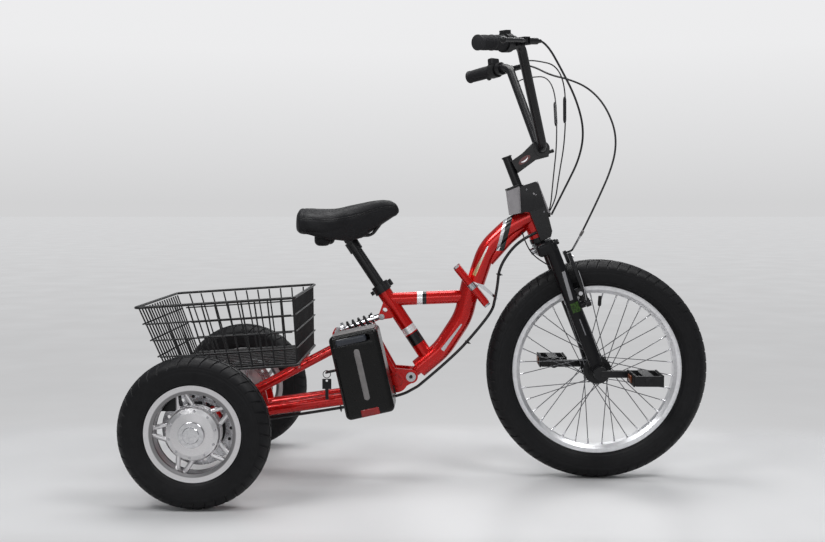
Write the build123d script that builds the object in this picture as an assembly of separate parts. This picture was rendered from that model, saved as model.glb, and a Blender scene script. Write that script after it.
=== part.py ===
from build123d import *
import os
from math import atan2, cos, degrees, hypot, radians, sin

os.makedirs("parts", exist_ok=True)

# Adult electric tricycle with one pedalled front wheel, two hub-motor rear wheels,
# a folding frame, a sprung swing arm, a wire basket and a slide-out battery.
# Millimetres. +X is forward, +Y is the rider's left, +Z is up; the origin is on the
# floor, in the middle of the length and of the width.

# Driving dimensions
FRONT_AXLE_X = 417.75
FRONT_TYRE_R = 272.5
FRONT_TYRE_WIDTH = 69.0
REAR_AXLE_X = -517.25
REAR_TYRE_R = 173.0
REAR_TYRE_WIDTH = 69.0
REAR_HALF_TRACK = 305.0
HEAD_TILT = 21.5  # steering axis, leaning back from upright
FORK_OFFSET = 17.0
HINGE_TILT = 39.0
SEAT_TILT = 33.5
BATTERY_TILT = 12.7
BASKET_TILT = 3.8
CRANK_LENGTH = 95.0
PIVOT_X, PIVOT_Z = -41.5, 255.0
SHELL_X, SHELL_Z = -79.0, 245.0
SHOCK_FRONT_X, SHOCK_FRONT_Z = -115.0, 402.0
SHOCK_REAR_X, SHOCK_REAR_Z = -225.0, 364.0
BAR_R = 11.1
RUNNING = 0.05  # radial clearance of a running fit
GAP = 0.3  # space between faces that pass each other


def tilted(x, y, z, angle):
    """Frame at a point, leaning back by an angle: local X is forward, local Z is up."""
    a = radians(angle)
    return Plane(origin=(x, y, z), x_dir=(cos(a), 0, sin(a)), z_dir=(-sin(a), 0, cos(a)))


def place(frame, shape):
    """A shape drawn in a local frame, moved to its place on the tricycle."""
    return frame.location * shape


def block(x, y, z):
    """Box between a low and a high value along each axis."""
    middle = [(low + high) / 2 for low, high in (x, y, z)]
    size = [high - low for low, high in (x, y, z)]
    return Pos(*middle) * Box(*size)


def soft_block(x, y, z, radius):
    """Box with every edge rounded."""
    box = block(x, y, z)
    return fillet(box.edges(), radius)


def rod(start, end, radius):
    """Solid round bar between two points."""
    a, b = Vector(*start), Vector(*end)
    return extrude(Plane(origin=a, z_dir=b - a) * Circle(radius), (b - a).length)


def pipe(start, end, outer, inner):
    """Round sleeve between two points."""
    return rod(start, end, outer) - rod(start, end, inner)


def bent_rod(points, radius, bends):
    """Solid round bar along straight runs joined by arcs."""
    path = FilletPolyline(*points, radius=bends)
    return sweep(Plane(origin=path @ 0, z_dir=path % 0) * Circle(radius), path=path)


def plate(points, y_low, y_high):
    """Flat plate across the machine, from its outline in X and Z."""
    outline = Polyline(*[(x, y_low, z) for x, z in points], close=True)
    return extrude(make_face(outline), y_high - y_low, dir=(0, 1, 0))


def turned(section, x, z):
    """Ring turned about a wheel axle; the section is drawn as radius and Y."""
    frame = Plane(origin=(x, 0, z), x_dir=(1, 0, 0), z_dir=(0, 0, 1))
    return revolve(frame * section, Axis((x, 0, z), (0, 1, 0)), 360)


def other_side(shape):
    """The same shape on the opposite side of the tricycle."""
    return mirror(shape, about=Plane.XZ)


def both_sides(shape):
    """A shape and its mirror image, as one group."""
    return shape + other_side(shape)


def keep(name, *solids):
    """Write one node; several solids become a group."""
    shape = solids[0] if len(solids) == 1 else Compound(children=list(solids))
    shape.label = name
    export_step(shape, f"parts/{name}.step")


steer_a = radians(HEAD_TILT)
HEAD = tilted(
    FRONT_AXLE_X - FORK_OFFSET * cos(steer_a),
    0,
    FRONT_TYRE_R - FORK_OFFSET * sin(steer_a),
    HEAD_TILT,
)
HINGE = tilted(108, 0, 480, HINGE_TILT)
SEAT = tilted(-121, 0, 480, SEAT_TILT)
BATTERY = tilted(-154, -115, 285, BATTERY_TILT)
BASKET = tilted(-302, 0, 305, BASKET_TILT)
shock_angle = degrees(atan2(SHOCK_FRONT_Z - SHOCK_REAR_Z, SHOCK_FRONT_X - SHOCK_REAR_X))
SHOCK = tilted(SHOCK_REAR_X, 0, SHOCK_REAR_Z, shock_angle)
SHOCK_LENGTH = hypot(SHOCK_FRONT_X - SHOCK_REAR_X, SHOCK_FRONT_Z - SHOCK_REAR_Z)

# Handlebar corner and the frame of the right grip: local X runs out along the grip,
# local Y points forward and out, local Z is up
BAR_CORNER = (210, -205, 1044)
GRIP_END = (112, -312, 1029)
grip_dir = (Vector(*GRIP_END) - Vector(*BAR_CORNER)).normalized()
grip_up = grip_dir.cross(Vector(-grip_dir.Y, grip_dir.X, 0)).normalized()
GRIP = Plane(origin=BAR_CORNER, x_dir=grip_dir, z_dir=grip_up)
GRIP_LENGTH = (Vector(*GRIP_END) - Vector(*BAR_CORNER)).length

# ---------------------------------------------------------------- front wheel
front_z = FRONT_TYRE_R
tyre_height = 69.5
tyre_mid = FRONT_TYRE_R - tyre_height / 2
front_section = (
    Pos(tyre_mid, 0) * RectangleRounded(tyre_height, FRONT_TYRE_WIDTH, 30)
    - Pos(tyre_mid, 0) * RectangleRounded(tyre_height - 9, FRONT_TYRE_WIDTH - 8, 26)
    - Pos(200, 0) * Rectangle(22.6, 39.6)
)

RIM_INNER_R = 190.0
front_rim_section = make_face(
    Polyline(
        (RIM_INNER_R, -11), (RIM_INNER_R, 11), (198, 17.5), (211, 19.5), (211, 17),
        (200.5, 15), (197, 9), (197, -9), (200.5, -15), (211, -17), (211, -19.5),
        (198, -17.5), close=True,
    )
)
front_rim = turned(front_rim_section, FRONT_AXLE_X, front_z)
valve = rod((FRONT_AXLE_X + 9, 0, front_z + 189.5), (FRONT_AXLE_X + 7.4, 0, front_z + 158), 3.6)
keep("front_tyre", turned(front_section, FRONT_AXLE_X, front_z), valve)
keep("front_rim", front_rim)

HUB_FLANGE_R = 34.0
hub = rod((FRONT_AXLE_X, -42.7, front_z), (FRONT_AXLE_X, 42.7, front_z), 22)
for side in (-1, 1):
    hub += rod(
        (FRONT_AXLE_X, side * 24, front_z), (FRONT_AXLE_X, side * 28, front_z), HUB_FLANGE_R
    )
hub -= rod((FRONT_AXLE_X, -50, front_z), (FRONT_AXLE_X, 50, front_z), 8.5 + RUNNING)
keep("front_hub", hub)

SPOKES_PER_SIDE = 18
spoke_sides = []
for side in (-1, 1):
    lace = None
    for i in range(SPOKES_PER_SIDE):
        hub_angle = radians(20 * i + 5 * side)
        rim_angle = hub_angle + radians(40 if i % 2 else -40)
        inner = (
            FRONT_AXLE_X + (HUB_FLANGE_R + 1.2) * cos(hub_angle),
            side * 26,
            front_z + (HUB_FLANGE_R + 1.2) * sin(hub_angle),
        )
        outer = (
            FRONT_AXLE_X + (RIM_INNER_R - 0.6) * cos(rim_angle),
            side * 4,
            front_z + (RIM_INNER_R - 0.6) * sin(rim_angle),
        )
        spoke = rod(inner, outer, 1.1)
        lace = spoke if lace is None else lace + spoke
    spoke_sides.append(lace)
keep("front_spokes", *spoke_sides)

# ------------------------------------------------------------ cranks and pedals
SPINDLE_END = 84.0
crank_spindle = rod((FRONT_AXLE_X, -SPINDLE_END, front_z), (FRONT_AXLE_X, SPINDLE_END, front_z), 8.5)


def crank_arm(side, way):
    """Forged arm from the spindle to the pedal axle."""
    boss = rod((FRONT_AXLE_X, side * 72, front_z), (FRONT_AXLE_X, side * 90, front_z), 17)
    eye_x = FRONT_AXLE_X + way * CRANK_LENGTH
    eye = rod((eye_x, side * 80, front_z), (eye_x, side * 93, front_z), 12)
    low, high = sorted((FRONT_AXLE_X, eye_x))
    y_low, y_high = sorted((side * 79, side * 91))
    arm = block((low, high), (y_low, y_high), (front_z - 9, front_z + 9))
    arm = fillet(arm.edges().filter_by(Axis.X), 4)
    axle = rod((eye_x, side * 85, front_z), (eye_x, side * 188, front_z), 5)
    return boss + eye + arm + axle


keep("crankset", crank_spindle + crank_arm(-1, 1) + crank_arm(1, -1))


def pedal(side, way):
    """Platform pedal body with a toothed edge, turning on its axle."""
    x = FRONT_AXLE_X + way * CRANK_LENGTH
    y_low, y_high = sorted((side * 98, side * 192))
    body = block((x - 33, x + 33), (y_low, y_high), (front_z - 12, front_z + 12))
    body = fillet(body.edges().filter_by(Axis.Y), 5)
    for slot_x in (x - 20, x + 20):
        slot_low, slot_high = sorted((side * 106, side * 184))
        body -= block((slot_x - 8, slot_x + 8), (slot_low, slot_high), (front_z - 20, front_z + 20))
    for i in range(9):
        tooth_y = side * (102 + i * 10.5)
        for edge in (-1, 1):
            tooth = block(
                (x + edge * 33 - 2, x + edge * 33 + 2),
                (tooth_y - 2, tooth_y + 2),
                (front_z - 13.5, front_z + 13.5),
            )
            body += tooth
    return body - rod((x, side * 90, front_z), (x, side * 189, front_z), 5 + RUNNING)


def reflector(side, way, end):
    """Reflector set in one end face of a pedal."""
    x = FRONT_AXLE_X + way * CRANK_LENGTH + end * 36.2
    y_low, y_high = sorted((side * 128, side * 162))
    return block((x - 1.2, x + 1.2), (y_low, y_high), (front_z - 7, front_z + 7))


for name, side, way in (("right", -1, 1), ("left", 1, -1)):
    keep(f"pedal_{name}", pedal(side, way), reflector(side, way, -1), reflector(side, way, 1))

# ------------------------------------------------------------------------ fork
LEG_Y = 56.0
LEG_TOP = 342.0
STEERER_R = 14.3
fork_leg = Pos(FORK_OFFSET, LEG_Y, 22) * extrude(Ellipse(16.5, 12.5), LEG_TOP - 22)
fork_foot = rod((FORK_OFFSET, 43, 0), (FORK_OFFSET, 70, 0), 19)
fork_ankle = block((FORK_OFFSET - 13, FORK_OFFSET + 13), (45, 67), (0, 40))
stud = rod((30, 50, 168), (45.5, 50, 168), 8) + rod((30, 50, 168), (61, 50, 168), 4)
half_fork = fork_leg + fork_foot + fork_ankle + stud
crown = soft_block((-18, 33), (-68, 68), (312, 343), 9)
fork = both_sides(half_fork) + crown + rod((0, 0, 320), (0, 0, 492), STEERER_R)
fork -= rod((FORK_OFFSET, -80, 0), (FORK_OFFSET, 80, 0), 8.5 + RUNNING)
keep("fork", place(HEAD, fork))
crown_washer = rod((33, 0, 330), (36, 0, 330), 8) + rod((36, 0, 330), (44, 0, 330), 6.5)
keep("crown_bolts", place(HEAD, crown_washer), place(HEAD, rod((-29, 0, 330), (-18, 0, 330), 8.5)))

# front rim brake: one sprung arm and pad on each side
BRAKE_PIVOT_H = 168.0
BRAKE_Y = 50.0


def rim_brake_arm():
    """Left arm of the rim brake with its pad, in the steering frame."""
    arm = rod((47, BRAKE_Y, BRAKE_PIVOT_H), (59, BRAKE_Y, BRAKE_PIVOT_H), 10)
    arm += block((49, 57), (BRAKE_Y - 7, BRAKE_Y + 7), (BRAKE_PIVOT_H, 298))
    arm += block((35, 57), (BRAKE_Y - 8, BRAKE_Y + 6), (190, 208))
    arm -= rod((40, BRAKE_Y, BRAKE_PIVOT_H), (62, BRAKE_Y, BRAKE_PIVOT_H), 4 + RUNNING)
    stem_bolt = rod((44, 32, 196), (44, 52, 196), 4)
    return arm + stem_bolt


def rim_brake_pad():
    """Rubber block facing the left wall of the rim."""
    return soft_block((24, 60), (21.4, 32), (190, 202), 2.5)


noodle = bent_rod([(53, 58.2, 291), (53, 74, 291), (74, 70, 290), (106, 62, 318)], 2.6, [8, 12])
noodle += rod((53, 57.2, 291), (53, 62, 291), 4.5)
brake_arm = place(HEAD, rim_brake_arm())
brake_pad = place(HEAD, rim_brake_pad())
keep("rim_brake_left", brake_arm, brake_pad, place(HEAD, noodle))
keep("rim_brake_right", other_side(brake_arm), other_side(brake_pad))

# ------------------------------------------------------- folding front frame
HEAD_TUBE_R = 20.0
HEAD_BORE_R = 17.2
beam_path = [(250.9, 0, 649.6), (203, 0, 626), (146, 0, 572), (118, 0, 488)]
beam = bent_rod(beam_path, 23, [110, 120])
beam += bent_rod([(250.9, 0, 640), (196, 0, 592), (150, 0, 540)], 14, [90])
beam -= place(HEAD, block((0, 90), (-60, 60), (300, 520)))
front_plate = soft_block((GAP, 9 + GAP), (-30.5, 42), (-56, 60), 2)
front_knuckle = rod((0, -40, -56), (0, -40, -8), 9)
front_knuckle += block((GAP, 8), (-41, -29), (-56, -8))
front_half = place(HINGE, front_plate + front_knuckle)
beam -= place(HINGE, block((-80, 2), (-60, 60), (-120, 120)))
front_frame = front_half + beam + place(HEAD, rod((0, 0, 358), (0, 0, 478), HEAD_TUBE_R))
front_frame -= place(HEAD, rod((0, 0, 340), (0, 0, 500), HEAD_BORE_R))
front_frame -= place(HINGE, rod((0, -40, -70), (0, -40, -2), 5 + RUNNING))
front_frame -= place(HINGE, rod((-2, 34, -12), (12, 34, -12), 3))
keep("front_frame", front_frame)

cups = [
    pipe((0, 0, low), (0, 0, low + 11.5), 21.5, STEERER_R + RUNNING) for low in (346.3, 478)
]
keep("headset_cups", *[place(HEAD, cup) for cup in cups])

# controller box on the head tube and the grey cover behind it
box_outline = [
    (2, 349), (28, 349), (36, 361), (41, 402), (46, 480), (42, 488), (3, 490), (-17, 431), (2, 424)
]
head_box = plate(box_outline, -38, 38) - rod((0, 0, 300), (0, 0, 520), 23)
head_box += rod((36, -14, 404), (48, -14, 399), 6) + rod((36, 14, 404), (48, 14, 399), 6)
head_box = place(HEAD, head_box) - bent_rod(beam_path, 23.5, [110, 120])
keep("head_box", head_box.solids().sort_by(SortBy.VOLUME)[-1])
cover_outline = [(2, 491), (-29, 497), (-44, 434), (-18, 430)]
head_cover = plate(cover_outline, -34, 34) - rod((0, 0, 400), (0, 0, 520), 23)
head_cover = place(HEAD, head_cover) - bent_rod(beam_path, 23.5, [110, 120])
keep("head_cover", head_cover.solids().sort_by(SortBy.VOLUME)[-1])

# fold latch: the draw bolt stays on the front plate, the lever turns on its eye
draw_bolt = rod((-17, 34, -12), (18, 34, -12), 3) + rod((18, 30.5, -12), (18, 37.5, -12), 7)
draw_bolt += rod((-17, 34, -12), (-9.3, 34, -12), 5)
draw_bolt -= rod((18, 20, -12), (18, 50, -12), 3 + RUNNING)
keep("fold_bolt", place(HINGE, draw_bolt))
lever_cheeks = rod((18, 25.5, -12), (18, 30.2, -12), 8.2) + rod((18, 37.8, -12), (18, 42.5, -12), 8.2)
lever_cheeks += rod((18, 25.5, -12), (18, 42.5, -12), 3)
lever_blade = plate([(13, -21), (23, -20), (27, -48), (30, -70), (25, -71), (20, -48)], 28, 40)
lever_roots = block((13, 23), (25.5, 30.2), (-24, -12)) + block((13, 23), (37.8, 42.5), (-24, -12))
lever_bridge = block((13, 23), (25.5, 42.5), (-26, -20.5))
keep("fold_lever", place(HINGE, lever_cheeks + lever_roots + lever_bridge + lever_blade))

# ------------------------------------------------------------------ main frame
arc = bent_rod(
    [(112, 0, 510), (88, 0, 402), (35, 0, 320), (-23.3, 0, 270.6)], 24, [150, 150]
)
arc -= place(HINGE, block((-1, 90), (-60, 60), (-120, 120)))
top_tube = rod((-96, 0, 444), (88, 0, 452), 16.5)
seat_tube = place(SEAT, rod((0, 0, -214), (0, 0, 0), 18))
seat_gusset = plate([(-112, 470), (-60, 440), (-92, 434)], -8, 8)
rear_plate = soft_block((-9, 0), (-30.5, 42), (-56, 60), 2)
rear_knuckle = rod((0, -40, 8), (0, -40, 58), 9) + block((-8, 0), (-41, -29), (8, 58))
rear_half = place(HINGE, rear_plate + rear_knuckle)
pivot_shell = rod((PIVOT_X, -22, PIVOT_Z), (PIVOT_X, 22, PIVOT_Z), 13.5)
pivot_neck = rod((PIVOT_X, 0, PIVOT_Z), (-20, 0, 273), 13)
main_frame = arc + top_tube + seat_tube + seat_gusset + rear_half + pivot_shell + pivot_neck
shock_ear = plate([(-106, 452), (-124, 402), (-120, 394), (-90, 398), (-76, 412)], 9, 13)
shock_ear -= rod((-107, 5, 418), (-107, 20, 418), 6)
main_frame += both_sides(shock_ear)
main_frame -= place(SEAT, rod((0, 0, -196), (0, 0, 10), 13.6 + RUNNING))
main_frame -= place(SEAT, block((10, 30), (-1.5, 1.5), (-36, 10)))
main_frame -= place(HINGE, rod((0, -40, 2), (0, -40, 70), 5))
main_frame -= place(HINGE, block((-12, 2), (28.6, 50), (-17.4, -6.6)))
main_frame -= rod((PIVOT_X, -30, PIVOT_Z), (PIVOT_X, 30, PIVOT_Z), 7)
main_frame -= rod((SHOCK_FRONT_X, -20, SHOCK_FRONT_Z), (SHOCK_FRONT_X, 20, SHOCK_FRONT_Z), 4)
keep("main_frame", main_frame)

hinge_pin = rod((0, -40, -61), (0, -40, 63), 5) + rod((0, -40, -7.7), (0, -40, 7.7), 9.3)
hinge_pin += rod((0, -40, 58), (0, -40, 63), 8) + rod((0, -40, -61), (0, -40, -56 - GAP), 8)

pivot_axle = rod((PIVOT_X, -37, PIVOT_Z), (PIVOT_X, 37, PIVOT_Z), 7)
for side in (-1, 1):
    cap = rod((PIVOT_X, side * 31.3, PIVOT_Z), (PIVOT_X, side * 37, PIVOT_Z), 12)
    cap -= rod((PIVOT_X, side * 34, PIVOT_Z), (PIVOT_X, side * 38, PIVOT_Z), 5)
    pivot_axle -= rod((PIVOT_X, side * 34, PIVOT_Z), (PIVOT_X, side * 38, PIVOT_Z), 5)
    pivot_axle += cap

# seat-post clamp: the bolt runs fore and aft on the left, the lever turns on its eye
CLAMP_Y, CLAMP_Z, CAM_X = 25.0, -10.0, 20.3
clamp = pipe((0, 0, -20), (0, 0, 2), 22, 18) + block((-12, 12), (14, 32), (-18, -2))
clamp -= rod((0, 0, -30), (0, 0, 10), 18)
clamp -= block((-1.5, 1.5), (10, 40), (-30, 10))
clamp -= rod((-20, CLAMP_Y, CLAMP_Z), (20, CLAMP_Y, CLAMP_Z), 3)
clamp_bolt = rod((-16, CLAMP_Y, CLAMP_Z), (CAM_X, CLAMP_Y, CLAMP_Z), 3)
clamp_bolt += rod((-21, CLAMP_Y, CLAMP_Z), (-12, CLAMP_Y, CLAMP_Z), 7)
clamp_bolt += rod((CAM_X, CLAMP_Y, CLAMP_Z - 3.2), (CAM_X, CLAMP_Y, CLAMP_Z + 3.2), 6.5)
clamp_bolt -= rod((CAM_X, CLAMP_Y, -30), (CAM_X, CLAMP_Y, 20), 3 + RUNNING)
keep("seat_clamp", place(SEAT, clamp), place(SEAT, clamp_bolt))
seat_lever = block((-34, 28), (33.8, 38), (-15, -5)) + rod((CAM_X, CLAMP_Y, -18), (CAM_X, CLAMP_Y, -2), 3)
for low, high in ((-18, -13.4), (-6.6, -2)):
    seat_lever += rod((CAM_X, CLAMP_Y, low), (CAM_X, CLAMP_Y, high), 8)
    seat_lever += block((12.6, 28), (CLAMP_Y, 38), (low, high))
seat_lever += block((12.6, 28), (33.8, 38), (-18, -2))
keep("seat_lever", place(SEAT, seat_lever))

# ------------------------------------------------------------- post and saddle
POST_TOP = 128.0
seat_post = rod((0, 0, -118), (0, 0, POST_TOP), 13.6)
keep("seat_post", place(SEAT, seat_post))
saddle_head = rod((0, -30, POST_TOP + 8), (0, 30, POST_TOP + 8), 11)
saddle_head += pipe((0, 0, POST_TOP - 26), (0, 0, POST_TOP + 2), 17, 13.6)
saddle_head -= rod((0, 0, POST_TOP - 40), (0, 0, POST_TOP), 13.6)
rail_points = [(-264, 36, 611), (-250, 30, 600), (-140, 24, 604), (-106, 10, 648)]
rail_bends = [8, 20]
rail_room = both_sides(bent_rod(rail_points, 3.6, rail_bends))
half_rail = bent_rod(rail_points, 3.5, rail_bends)
saddle_head = (place(SEAT, saddle_head) - rail_room).solids().sort_by(SortBy.VOLUME)[-1]
keep("saddle_mount", half_rail, other_side(half_rail), saddle_head)


def saddle_section(x, half_width, low, high):
    """Rounded cross-section of the saddle at one station."""
    frame = Plane(origin=(x, 0, (low + high) / 2), x_dir=(0, 1, 0), z_dir=(1, 0, 0))
    height = high - low
    radius = min(height, 2 * half_width) * 0.32
    return frame * RectangleRounded(2 * half_width, height, radius)


cushion_stations = [
    (-318, 70, 622, 664), (-296, 96, 612, 669), (-262, 104, 610, 668), (-225, 92, 606, 671),
    (-190, 62, 606, 679), (-160, 44, 606, 685), (-130, 31, 621, 690), (-106, 24, 637, 691),
    (-88, 18, 649, 686), (-74, 11, 656, 668),
]
cushion = loft([saddle_section(*station) for station in cushion_stations])
shell_stations = [
    (-300, 84, 608, 636), (-277, 98, 605, 636), (-250, 99, 598, 636), (-218, 86, 592, 636),
    (-190, 60, 590, 636), (-165, 44, 597, 636), (-148, 38, 606, 636),
]
hollow_stations = [
    (-294, 78, 570, 606), (-277, 92, 570, 606), (-250, 93, 570, 604), (-218, 80, 570, 602),
    (-190, 54, 570, 602), (-165, 38, 570, 602),
]
shell = loft([saddle_section(*station) for station in shell_stations]) - cushion
shell -= loft([saddle_section(*station) for station in hollow_stations])
shell_body = shell.solids().sort_by(SortBy.VOLUME)[-1]
keep("saddle_cushion", cushion - rail_room)
clamp_room = place(SEAT, block((-24, 24), (-32, 32), (POST_TOP - 40, POST_TOP + 24)))
saddle_shell = (shell_body - rail_room - clamp_room).solids().sort_by(SortBy.VOLUME)[-1]
bumper = rod((-257, 48, 579), (-257, 48, 630), 20)
bumper = fillet(bumper.edges().sort_by(Axis.Z)[0], 13) - rail_room - shell_body - cushion
bumper = bumper.solids().sort_by(SortBy.VOLUME)[-1]
keep("saddle_base", saddle_shell, bumper, other_side(bumper))

# ------------------------------------------------------------------- swing arm
arm_plate = plate(
    [(-41.5, 272), (-79, 275), (-79, 215), (-41.5, 238)], 22.4, 31
) + rod((PIVOT_X, 22.4, PIVOT_Z), (PIVOT_X, 31, PIVOT_Z), 17)
arm_plate += rod((SHELL_X, 22.4, SHELL_Z), (SHELL_X, 31, SHELL_Z), 30)
lower_stay = bent_rod([(-84, 26, 222), (-210, 38, 200), (-470, 42, 162)], 15.5, [300])
strut = rod((-84, 27, 262), (-138, 32, 358), 9)
upper_stay = bent_rod([(-135, 32, 364), (-150, 32, 366), (-505, 44, 176)], 9.5, [12])
side_gusset = plate([(-392, 178), (-446, 168), (-446, 206), (-404, 232)], 37, 43)
eye_ear = plate([(-236, 318), (-212, 330), (-214, 366), (-232, 372), (-238, 360)], 9, 13)
half_arm = arm_plate + lower_stay + strut + upper_stay + side_gusset + eye_ear
swing_arm = both_sides(half_arm)
swing_arm += rod((SHELL_X, -38, SHELL_Z), (SHELL_X, 38, SHELL_Z), 22)
swing_arm += rod((-224, -34, 325), (-224, 34, 325), 9)
swing_arm += rod((-400, -42, 172), (-400, 42, 172), 10)
swing_arm += rod((REAR_AXLE_X, -216, REAR_TYRE_R), (REAR_AXLE_X, 216, REAR_TYRE_R), 19)
swing_arm += both_sides(block((-517, -470), (36, 48), (156, 186)))
swing_arm += both_sides(rod((-316, 92, 292), (-316, 30, 280), 7))
swing_arm -= rod((PIVOT_X, -50, PIVOT_Z), (PIVOT_X, 50, PIVOT_Z), 7 + RUNNING)
swing_arm -= rod((SHOCK_REAR_X, -20, SHOCK_REAR_Z), (SHOCK_REAR_X, 20, SHOCK_REAR_Z), 4)
for side in (-1, 1):
    recess = pipe((SHELL_X, side * 35, SHELL_Z), (SHELL_X, side * 40, SHELL_Z), 17, 12)
    swing_arm -= recess

stub = rod((REAR_AXLE_X, 216, REAR_TYRE_R), (REAR_AXLE_X, 324, REAR_TYRE_R), 7)
stub += rod((REAR_AXLE_X, 216, REAR_TYRE_R), (REAR_AXLE_X, 252, REAR_TYRE_R), 14)

# brake caliper over each disc, on a bracket from the axle tube
caliper = soft_block((-604, -560), (246, 269.5), (212, 246), 4)
caliper -= rod((REAR_AXLE_X, 255.2, REAR_TYRE_R), (REAR_AXLE_X, 259.8, REAR_TYRE_R), 87)
bracket = plate([(-532, 165), (-570, 205), (-590, 214), (-566, 228), (-500, 176)], 240, 246)
bracket -= rod((REAR_AXLE_X, 230, REAR_TYRE_R), (REAR_AXLE_X, 250, REAR_TYRE_R), 14)
rear_brake = (caliper + bracket).solids().sort_by(SortBy.VOLUME)[-1]
keep("rear_calipers", rear_brake, other_side(rear_brake))

# ----------------------------------------------------------------------- shock
EYE_R = 9.0
shock_body = rod((SHOCK_LENGTH, -8.7, 0), (SHOCK_LENGTH, 8.7, 0), EYE_R)
shock_body += rod((SHOCK_LENGTH, 0, 0), (52, 0, 0), 8) + rod((96, 0, 0), (90, 0, 0), 17)
shock_body -= rod((SHOCK_LENGTH, -20, 0), (SHOCK_LENGTH, 20, 0), 4 + RUNNING)
shock_body -= rod((40, 0, 0), (84, 0, 0), 5 + RUNNING)
keep("shock_body", place(SHOCK, shock_body))
shock_rod = rod((0, -8.7, 0), (0, 8.7, 0), EYE_R) + rod((0, 0, 0), (62, 0, 0), 5)
shock_rod += rod((12, 0, 0), (18, 0, 0), 17)
shock_rod -= rod((0, -20, 0), (0, 20, 0), 4 + 0.4)
keep("shock_rod", place(SHOCK, shock_rod))
COIL_TURNS = 4.4
coil_path = Helix(pitch=(90 - 18 - 7) / COIL_TURNS, height=90 - 18 - 7, radius=13.5)
coil = sweep(Plane(origin=coil_path @ 0, z_dir=coil_path % 0) * Circle(3.2), path=coil_path)
coil = Pos(21.5, 0, 0) * Rot(0, 90, 0) * coil
keep("shock_spring", place(SHOCK, coil))
front_bolt = rod((SHOCK_FRONT_X, -17, SHOCK_FRONT_Z), (SHOCK_FRONT_X, 17, SHOCK_FRONT_Z), 4)
rear_bolt = rod((SHOCK_REAR_X, -17, SHOCK_REAR_Z), (SHOCK_REAR_X, 17, SHOCK_REAR_Z), 4)
for side in (-1, 1):
    front_bolt += rod((SHOCK_FRONT_X, side * 13, SHOCK_FRONT_Z), (SHOCK_FRONT_X, side * 18, SHOCK_FRONT_Z), 7)
    rear_bolt += rod((SHOCK_REAR_X, side * 13, SHOCK_REAR_Z), (SHOCK_REAR_X, side * 18, SHOCK_REAR_Z), 7)
keep("frame_pins", place(HINGE, hinge_pin), pivot_axle, front_bolt)
keep("arm_pins", stub, other_side(stub), rear_bolt)

# --------------------------------------------------------------------- battery
battery = soft_block((-60, 58), (-50, 50), (-106, 98), 13)
battery -= soft_block((-44, 38), (-56, -16), (50, 88), 5)
battery -= soft_block((-20, 20), (47, 60), (-118, 70), 1.5)
battery -= rod((-70, 20, 10), (-50, 20, 10), 8)
battery_handle = rod((-46, -44, 69), (40, -44, 69), 5) - battery
keep("battery_case", place(BATTERY, battery))
rail = block((-17, 17), (47.6, 59), (-84, 66))
rail += block((-17, 60), (55, 59), (-84, -62)) + block((-14, 14), (58, 70), (-90, -70))
battery_rail = (place(BATTERY, rail) - swing_arm).solids().sort_by(SortBy.VOLUME)[-1]
keep("battery_rail", battery_rail)
lock = rod((-60, 20, 10), (-50, 20, 10), 8) - rod((-61, 20, 10), (-52, 20, 10), 4)
keep("battery_fittings", place(BATTERY, battery_handle), place(BATTERY, lock))
key = rod((-66, 20, 10), (-52.2, 20, 10), 3.8)
key_head = soft_block((-92, -66), (9, 31), (8, 12), 1.5) - rod((-82, 20, 0), (-82, 20, 20), 5)
keep("battery_key", place(BATTERY, key + key_head))

# ring and spare key hanging from the key in the lock
RING_X, RING_Z = -243.4, 270.4
ring_section = Plane(origin=(RING_X, -95, RING_Z), x_dir=(1, 0, 0), z_dir=(0, 0, 1)) * (
    Pos(9, 0) * Circle(0.9)
)
ring = revolve(ring_section, Axis((RING_X, -95, RING_Z), (0, 1, 0)), 360)
spare_head = soft_block((RING_X - 11, RING_X + 11), (-97, -93), (RING_Z - 36, RING_Z - 11), 1.5)
spare_head -= rod((RING_X, -100, RING_Z - 15.5), (RING_X, -90, RING_Z - 15.5), 3)
spare = spare_head + block((RING_X - 4, RING_X + 4), (-96.2, -93.8), (RING_Z - 62, RING_Z - 35))
keep("spare_key", ring, spare)

# ---------------------------------------------------------------------- basket
BASKET_TOP = 160.0
TOP_FRONT, TOP_REAR, TOP_Y = 5.0, -366.0, 200.0
LOW_FRONT, LOW_REAR, LOW_Y = -2.0, -314.0, 178.0
WIRE_R = 1.9


def basket_point(u, v, w):
    """Point on the tapered basket: u from rear to front, v from right to left, w upward."""
    share = w / BASKET_TOP
    rear = LOW_REAR + (TOP_REAR - LOW_REAR) * share
    front = LOW_FRONT + (TOP_FRONT - LOW_FRONT) * share
    half = LOW_Y + (TOP_Y - LOW_Y) * share
    return (rear + (front - rear) * u, -half + 2 * half * v, w)


def wire(start, end, radius=WIRE_R, shift=(0, 0, 0)):
    """Straight basket wire between two basket points."""
    a = Vector(*start) + Vector(*shift)
    b = Vector(*end) + Vector(*shift)
    return rod((a.X, a.Y, a.Z), (b.X, b.Y, b.Z), radius)


def fused(wires):
    """Welded wires as one body."""
    first, *rest = wires
    return first.fuse(*rest)


side_wires = [
    wire(basket_point(i / 12, 0, 3), basket_point(i / 12, 0, BASKET_TOP - 4), shift=(0, 2.4, 0))
    for i in range(1, 12)
]
side_wires += [
    wire(basket_point(0.02, 0, w), basket_point(0.98, 0, w), shift=(0, -0.4, 0))
    for w in (40, 80, 120)
]
side_net = fused(side_wires)


def end_net(u, inward):
    """Close-set wires of the front or rear wall."""
    wires = [
        wire(basket_point(u, i / 18, 3), basket_point(u, i / 18, BASKET_TOP - 4), shift=(inward * 2.4, 0, 0))
        for i in range(1, 18)
    ]
    wires += [
        wire(basket_point(u, 0.02, w), basket_point(u, 0.98, w), shift=(-inward * 0.4, 0, 0))
        for w in (40, 80, 120)
    ]
    return fused(wires)


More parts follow.
